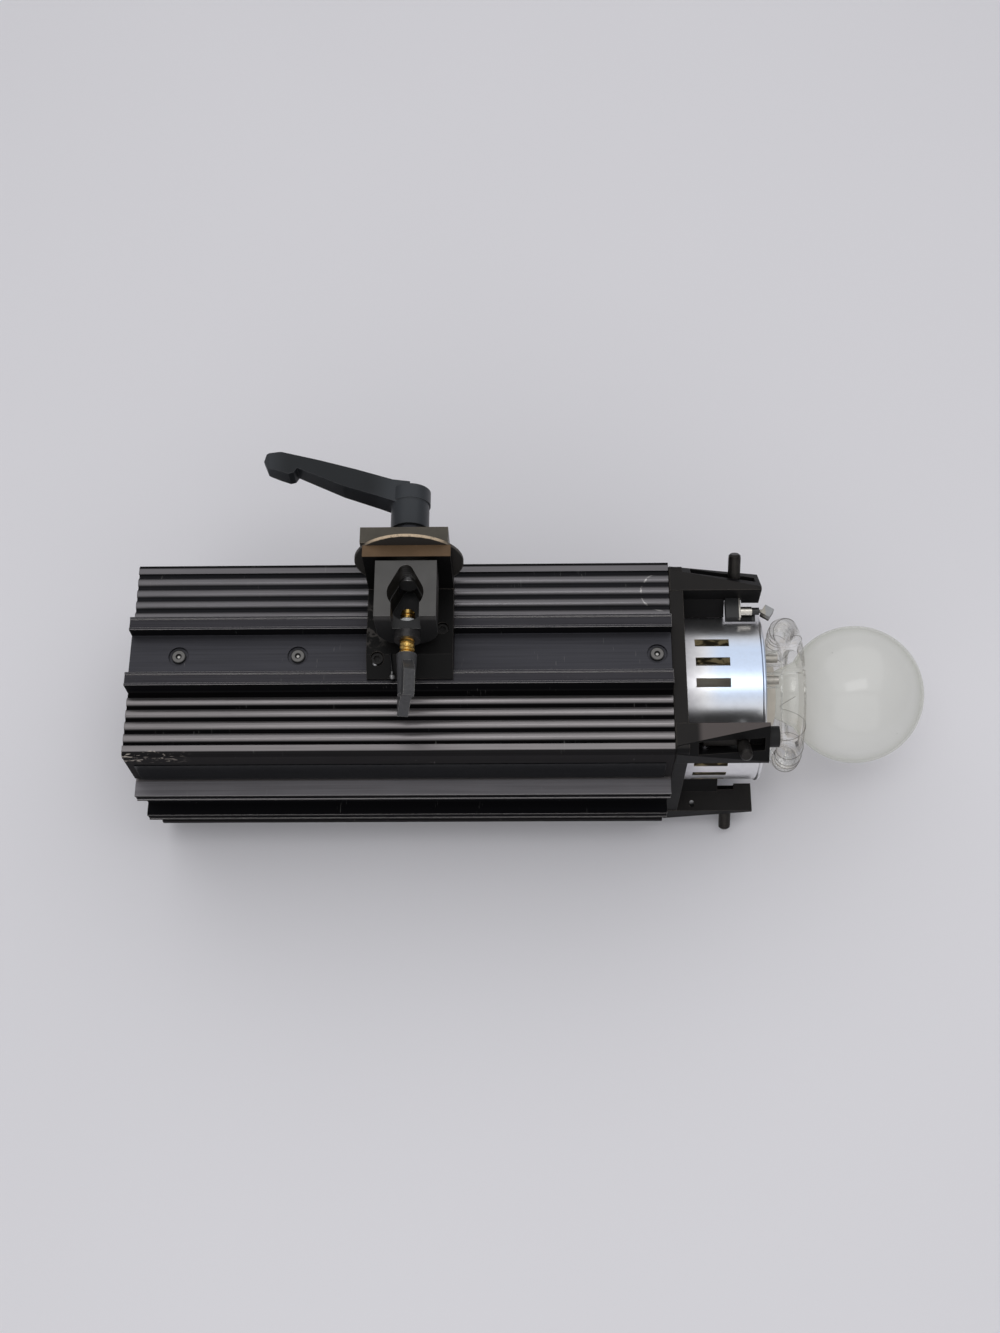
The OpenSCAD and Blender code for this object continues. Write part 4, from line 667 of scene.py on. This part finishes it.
def result_mesh(maker):
    """What an object with modifiers or text comes to, as a plain mesh. The object itself goes."""
    seen = maker.evaluated_get(bpy.context.evaluated_depsgraph_get())
    mesh = bpy.data.meshes.new_from_object(seen)
    bpy.data.objects.remove(maker)
    return mesh


def settle(piece, body, slot):
    """Gives a finished piece its body and its slot's finish."""
    if not piece.data.materials:
        piece.data.materials.append(FINISHES[slot])
    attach(piece, body)
    return piece


def closed(mesh, weld_mm=0.002):
    """Joins doubled points, fills open ends and turns the faces outwards."""
    work = bmesh.new()
    work.from_mesh(mesh)
    bmesh.ops.remove_doubles(work, verts=work.verts, dist=weld_mm * MM)
    bmesh.ops.holes_fill(work, edges=work.edges, sides=0)
    bmesh.ops.recalc_face_normals(work, faces=work.faces)
    work.to_mesh(mesh)
    work.free()


def outer_skin(node, name, slot, body):
    """The outside of a hollow piece alone, so that its glass is one thin wall."""
    work = bmesh.new()
    work.from_mesh(NODES[node].data)
    bmesh.ops.remove_doubles(work, verts=work.verts, dist=0.001 * MM)
    left = set(work.faces)
    shells = []
    while left:
        shell, edge = set(), [left.pop()]
        while edge:
            face = edge.pop()
            shell.add(face)
            for side in face.edges:
                for other in side.link_faces:
                    if other in left:
                        left.remove(other)
                        edge.append(other)
        shells.append(shell)
    shells.sort(key=lambda shell: sum(face.calc_area() for face in shell))
    inner = [face for shell in shells[:-1] for face in shell]
    bmesh.ops.delete(work, geom=inner, context="FACES")
    bmesh.ops.recalc_face_normals(work, faces=work.faces)
    for face in work.faces:
        face.smooth = True
    mesh = bpy.data.meshes.new(name)
    work.to_mesh(mesh)
    work.free()
    mesh.materials.clear()
    piece = settle(linked(name, mesh), body, slot)
    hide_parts(node)


class Layout(Board):
    """A Geometry Nodes tree with named sizes, which makes a piece that repeats or follows a path."""

    def __init__(self, name, whole=(), **sizes):
        super().__init__(bpy.data.node_groups.new(name, "GeometryNodeTree"))
        panel = self.tree.interface
        panel.new_socket("Geometry", in_out="OUTPUT", socket_type="NodeSocketGeometry")
        for size in sizes:
            kind = "NodeSocketInt" if size in whole else "NodeSocketFloat"
            panel.new_socket(size, in_out="INPUT", socket_type=kind)
        self.name = name
        self.sizes = sizes
        self.end = self.tree.nodes.new("NodeGroupOutput")
        given = self.tree.nodes.new("NodeGroupInput")
        self.given = {size: Wire(self, given.outputs[size]) for size in sizes}

    def lay(self, piece_name, geometry, slot, body, turn, smooth=False):
        """Realizes the tree's result as a plain mesh that rides on a body."""
        real = self.add("GeometryNodeRealizeInstances", None, geometry)
        self.tree.links.new(real.socket, self.end.inputs[0])
        carrier = linked(self.name, bpy.data.meshes.new(self.name))
        change = carrier.modifiers.new(self.name, "NODES")
        change.node_group = self.tree
        for item in self.tree.interface.items_tree:
            if item.in_out == "INPUT":
                change[item.identifier] = self.sizes[item.name]
        mesh = result_mesh(carrier)
        mesh.transform(turn)
        closed(mesh)
        for face in mesh.polygons:
            face.use_smooth = smooth
        mesh.materials.clear()
        return settle(linked(piece_name, mesh), body, slot)


def place_in_mm(x, y, z):
    """The matrix that puts a layout made in metres at a place given in mm."""
    return Matrix.Translation((x * MM, y * MM, z * MM))


def spin(degrees, axis):
    return Matrix.Rotation(math.radians(degrees), 4, axis)


def screw_thread():
    """The thumb screw's thread: a ridge that winds round a plain core."""
    start, tip_clear, depth = 0.6, 1.5, 0.6
    length = THUMB_TIP - tip_clear - THUMB_BACK
    tree = Layout("screw_thread", Rotations=length / THREAD_PITCH - 1, Radius=(THUMB_R - depth) * MM,
                  Height=(length - THREAD_PITCH) * MM, Ridge=0.72 * MM, Length=length * MM)
    g = tree.given
    radius = g["Radius"]
    spiral = tree.add("GeometryNodeCurveSpiral", None, 20, g["Rotations"], radius, radius, g["Height"])
    ridge = tree.add("GeometryNodeCurvePrimitiveCircle", None, 3, Radius=g["Ridge"])
    wound = tree.add("GeometryNodeCurveToMesh", None, spiral, ridge, Fill_Caps=True)
    core = tree.add("GeometryNodeMeshCylinder", None, 32, 1, 1, radius, g["Length"])
    middle = tree.add("ShaderNodeCombineXYZ", None, 0.0, 0.0, g["Length"] * 0.5 - start * MM)
    raised = tree.add("GeometryNodeTransform", None, core, Translation=middle)
    both = tree.add("GeometryNodeJoinGeometry", None, wound)
    tree.tree.links.new(raised.socket, both.socket.node.inputs[0])
    turn = place_in_mm(BRACKET_X, THUMB_BACK + start, THUMB_Z) @ spin(-90, "X")
    return tree.lay("thumb_screw_thread", both, "thumb_brass", "thumb_screw", turn)


def knurled_sleeve(index):
    """A sleeve of small pyramids over one finger's pin."""
    around, along = 44, 24
    plain_foot, plain_top = 3.2, 1.6
    length = PIN_HIGH - plain_top - PIN_LOW - plain_foot
    tree = Layout(f"knurl_{index}", whole=("Around", "Along"), Around=around + 1, Along=along,
                  Radius=(PIN_R + 0.1) * MM, Depth=0.28 * MM, End=0.35 * MM, Length=length * MM)
    g = tree.given
    sheet = tree.add("GeometryNodeMeshGrid", None, 1.0, 1.0, g["Around"], g["Along"])
    number = tree.add("GeometryNodeInputIndex")
    column = (number / g["Along"]).whole()
    row = number - column * g["Along"]
    low = (column + row) % 2.0
    at_an_end = (row < 0.5) + (row > along - 1.5)
    radius = g["Radius"] - g["Depth"] * low - at_an_end * g["End"]
    angle = column / (g["Around"] - 1.0) * (2 * math.pi)
    spot = tree.add("ShaderNodeCombineXYZ", None, angle.cosine() * radius, angle.wave() * radius,
                    row / (g["Along"] - 1.0) * g["Length"])
    bent = tree.add("GeometryNodeSetPosition", None, sheet, Position=spot)
    turn = spin(45 + 90 * (index - 1), "X") @ place_in_mm(PIN_X, 0, PIN_LOW + plain_foot)
    return tree.lay(f"finger_{index}_knurl", bent, "knurled_steel", f"finger_{index}", turn)


def trigger_winding():
    """Fine wire wound round the flash ring: close turns on its far and near parts, wide ones between them."""
    turns, steps_a_turn = 15, 24
    tree = Layout("ring_winding", whole=("Steps",), Steps=turns * steps_a_turn, Turns=float(turns),
                  Ring=RING_R * MM, Tube=(TUBE_R + 0.2) * MM, Wire=0.13 * MM, Start=math.radians(14),
                  Span=math.radians(332), Crowding=math.radians(21))
    g = tree.given
    line = tree.add("GeometryNodeCurvePrimitiveLine", {"mode": "POINTS"}, (0, 0, 0), (0, 0, 1))
    path = tree.add("GeometryNodeResampleCurve", None, line, Count=g["Steps"])
    part = tree.add("GeometryNodeInputIndex") / (g["Steps"] - 1.0)
    even = g["Start"] + part * g["Span"]
    along = even + (even * 2.0).wave() * g["Crowding"]
    round_tube = part * g["Turns"] * (2 * math.pi)
    radius = g["Ring"] + round_tube.cosine() * g["Tube"]
    spot = tree.add("ShaderNodeCombineXYZ", None, round_tube.wave() * g["Tube"], along.wave() * radius,
                    along.cosine() * radius)
    wound = tree.add("GeometryNodeSetPosition", None, path, Position=spot)
    profile = tree.add("GeometryNodeCurvePrimitiveCircle", None, 6, Radius=g["Wire"])
    wire = tree.add("GeometryNodeCurveToMesh", None, wound, profile, Fill_Caps=True)
    piece = tree.lay("trigger_winding", wire, "electrode", "root", place_in_mm(RING_X, 0, 0), smooth=True)
    piece.data.materials[0] = hard("trigger_wire", srgb(92, 86, 80), 0.4, 0.7, cloud=0.3, cloud_mm=2.0,
                                   edge=0.0)


def from_rings(name, rings):
    """A closed skin through rings of points given in mm, capped at both ends, on the bracket."""
    count = len(rings[0])
    points = [tuple(c * MM for c in point) for ring in rings for point in ring]
    faces = []
    for k in range(len(rings) - 1):
        for i in range(count):
            j = (i + 1) % count
            faces.append((k * count + i, k * count + j, (k + 1) * count + j, (k + 1) * count + i))
    faces.append(tuple(range(count))[::-1])
    faces.append(tuple(range((len(rings) - 1) * count, len(rings) * count)))
    mesh = bpy.data.meshes.new(name)
    mesh.from_pydata(points, [], faces)
    closed(mesh, 0.0005)
    for face in mesh.polygons:
        face.use_smooth = True
    return settle(linked(name, mesh), "root", "zinc_steel")


def turned(name, foot, ahead, profile, sides=20):
    """A turned piece: its profile is pairs of a distance along its axis and a radius, in mm."""
    least_radius = 0.001
    ahead = Vector(ahead).normalized()
    across = ahead.orthogonal().normalized()
    other = ahead.cross(across)
    rings = []
    for along, radius in profile:
        centre = Vector(foot) + ahead * along
        ring = []
        for i in range(sides):
            angle = 2 * math.pi * i / sides
            reach = across * math.cos(angle) + other * math.sin(angle)
            ring.append(centre + reach * max(radius, least_radius))
        rings.append(ring)
    return from_rings(name, rings)


def pull_pin():
    """The thin pin with a ball end that lies down the bracket's sloping front."""
    ball, rod, length, steps = 1.7, 0.55, 11.0, 12
    profile = [(0, 0.01), (0, rod), (length, rod)]
    for step in range(1, steps):
        angle = math.pi * step / steps
        along = length + ball * (1 - math.cos(angle))
        profile.append((along, max(ball * math.sin(angle), rod * (step < 3))))
    profile.append((length + 2 * ball, 0.01))
    pin = turned("bracket_pull_pin", PULL_PIN_FOOT, PULL_PIN_AHEAD, profile)
    bright_ball = (-15.6, srgb(150, 150, 150), 1.0)
    dark_rod = (99.0, srgb(34, 34, 35), 0.8)
    pin.data.materials[0] = zoned("pull_pin_steel", (bright_ball, dark_rod), "Y", 0.3)


def slope_rivet():
    """A small domed rivet on the bracket's sloping front."""
    profile = [(-0.5, 0.01), (-0.5, 1.5), (0, 1.5), (0.35, 1.35), (0.65, 0.9), (0.8, 0.01)]
    turned("bracket_rivet", RIVET_FOOT, RIVET_AHEAD, profile)


# Local X runs along -Y, local Y along +Z and local Z along -X, so a print on the rear reads from behind
FROM_BEHIND = Matrix(((0, 0, -1, 0), (-1, 0, 0, 0), (0, 1, 0, 0), (0, 0, 0, 1)))


def slider_scale(name, at, side):
    """Nine printed lines beside a slider's slot: long at the ends and in the middle."""
    lines = 9
    tree = Layout(name, whole=("Lines",), Lines=lines, Step=SLIDER_TRAVEL / (lines - 1) * MM,
                  Thick=0.5 * MM, Long=4.0 * MM, Short=2.4 * MM, Print=0.12 * MM)
    g = tree.given
    stops = tree.add("GeometryNodeMeshLine", None, g["Lines"], None, (0, 0, 0),
                     tree.add("ShaderNodeCombineXYZ", None, 0.0, g["Step"], 0.0))
    number = tree.add("GeometryNodeInputIndex")
    main = (number % 4.0) < 0.5
    length = g["Short"] + main * (g["Long"] - g["Short"])
    size = tree.add("ShaderNodeCombineXYZ", None, 1.0, g["Thick"], g["Print"])
    bar = tree.add("GeometryNodeMeshCube", None, size)
    shifted = tree.add("GeometryNodeTransform", None, bar, None, (0.5 * side, 0.0, 0.0))
    bars = tree.add("GeometryNodeInstanceOnPoints", None, stops, None, shifted,
                    Scale=tree.add("ShaderNodeCombineXYZ", None, length, 1.0, 1.0))
    across, up = at
    beside = 6.2
    turn = place_in_mm(PANEL_X, across - side * beside, up - SLIDER_TRAVEL / 2) @ FROM_BEHIND
    return tree.lay(name, bars, "pale_plastic", "root", turn)


def printed(name, words, across, up):
    """A plain word or figure printed on the rear, centred at a place across and up it."""
    text = bpy.data.curves.new(name, "FONT")
    text.body = words
    text.size = LETTER_HIGH * MM * 1.35
    text.extrude = 0.06 * MM
    text.align_x = text.align_y = "CENTER"
    mesh = result_mesh(linked(name, text))
    mesh.transform(place_in_mm(PANEL_X, across, up) @ FROM_BEHIND)
    closed(mesh, 0.0002)
    settle(linked(name, mesh), "root", "pale_plastic")


def rear_marks():
    """Scales and figures beside the two sliders, and words beside the rockers."""
    for label, (across, up) in (("flash", FLASH_SLIDER), ("lamp", LAMP_SLIDER)):
        for side, word in ((-1, "left"), (1, "right")):
            slider_scale(f"{label}_scale_{word}", (across, up), side)
        for step in range(5):
            at_step = up - SLIDER_TRAVEL / 2 + step * SLIDER_TRAVEL / 4
            printed(f"{label}_figure_{step}", str(step + 1), across + FIGURE_BESIDE, at_step)
    for label, (across, up), side in ROCKERS:
        beside = across + side * WORD_BESIDE
        printed(f"{label}_word", "ON", beside, up + WORD_UP)
        printed(f"{label}_word_off", "OFF", beside, up - WORD_UP)


outer_skin("flash_tube", "flash_tube_glass", "clear_glass", "root")
thread = screw_thread()
rear_marks()
pull_pin()
slope_rivet()
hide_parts("thumb_screw")
for finger in range(1, 5):
    knurled_sleeve(finger)
trigger_winding()


def lamp(name, place, size, power):
    """A soft rectangular lamp, aimed at the strobe."""
    light = bpy.data.lights.new(name, "AREA")
    light.shape = "RECTANGLE"
    light.size, light.size_y = size
    light.energy = power
    holder = linked(name, light)
    holder.location = place
    holder.rotation_mode = "QUATERNION"
    holder.rotation_quaternion = (Vector(LAMPS_AIM) - Vector(place)).to_track_quat("-Z", "Y")


def floor():
    """A wide sheet of pale paper that the strobe lies on."""
    mesh = bpy.data.meshes.new("paper")
    z = REST_Z * MM
    corners = [(x * PAPER_REACH, y * PAPER_REACH, z) for x, y in ((-1, -1), (1, -1), (1, 1), (-1, 1))]
    mesh.from_pydata(corners, [], [(0, 1, 2, 3)])
    mesh.materials.append(studio_floor())
    paper = linked("paper", mesh)


def room():
    """Grey surroundings. The camera sees them as pale as the paper."""
    world = bpy.data.worlds.new("room")
    world.use_nodes = True
    board = Board(world.node_tree)
    board.tree.nodes.clear()
    ray = board.add("ShaderNodeLightPath", out="Is Camera Ray")
    through = board.add("ShaderNodeLightPath", out="Is Transmission Ray")
    seen = (ray + through).held()
    soft = board.add("ShaderNodeBackground", None, (1.0, 1.0, 1.02, 1.0), ROOM_LEVEL)
    pale = board.add("ShaderNodeBackground", None, srgb(198, 198, 203), 1.0)
    both = board.add("ShaderNodeMixShader", None, seen, soft, pale)
    board.add("ShaderNodeOutputWorld", None, both)
    bpy.context.scene.world = world


def camera():
    """The photograph's viewpoint: high over the near side, a little turned and tilted."""
    yaw, down, roll = math.radians(VIEW_YAW), math.radians(VIEW_DOWN), math.radians(VIEW_ROLL)
    ahead = Vector((math.sin(yaw) * math.cos(down), math.cos(yaw) * math.cos(down), -math.sin(down)))
    level = Vector((math.cos(yaw), -math.sin(yaw), 0.0))
    up = level.cross(ahead)
    across = math.cos(roll) * level + math.sin(roll) * up
    upright = -math.sin(roll) * level + math.cos(roll) * up
    lens = bpy.data.cameras.new("viewpoint")
    lens.sensor_fit = "VERTICAL"
    lens.sensor_height = SENSOR_MM
    lens.lens = SENSOR_MM * FOCAL_SHARE
    lens.clip_start, lens.clip_end = 0.05, 30.0
    holder = linked("viewpoint", lens)
    turn = Matrix((across, upright, -ahead)).transposed().to_4x4()
    holder.matrix_world = Matrix.Translation(VIEW_FROM) @ turn
    bpy.context.scene.camera = holder


floor()
room()
camera()
for name, place, size, power in LAMPS:
    lamp(name, place, size, power)
bpy.context.scene.view_settings.view_transform = "Standard"
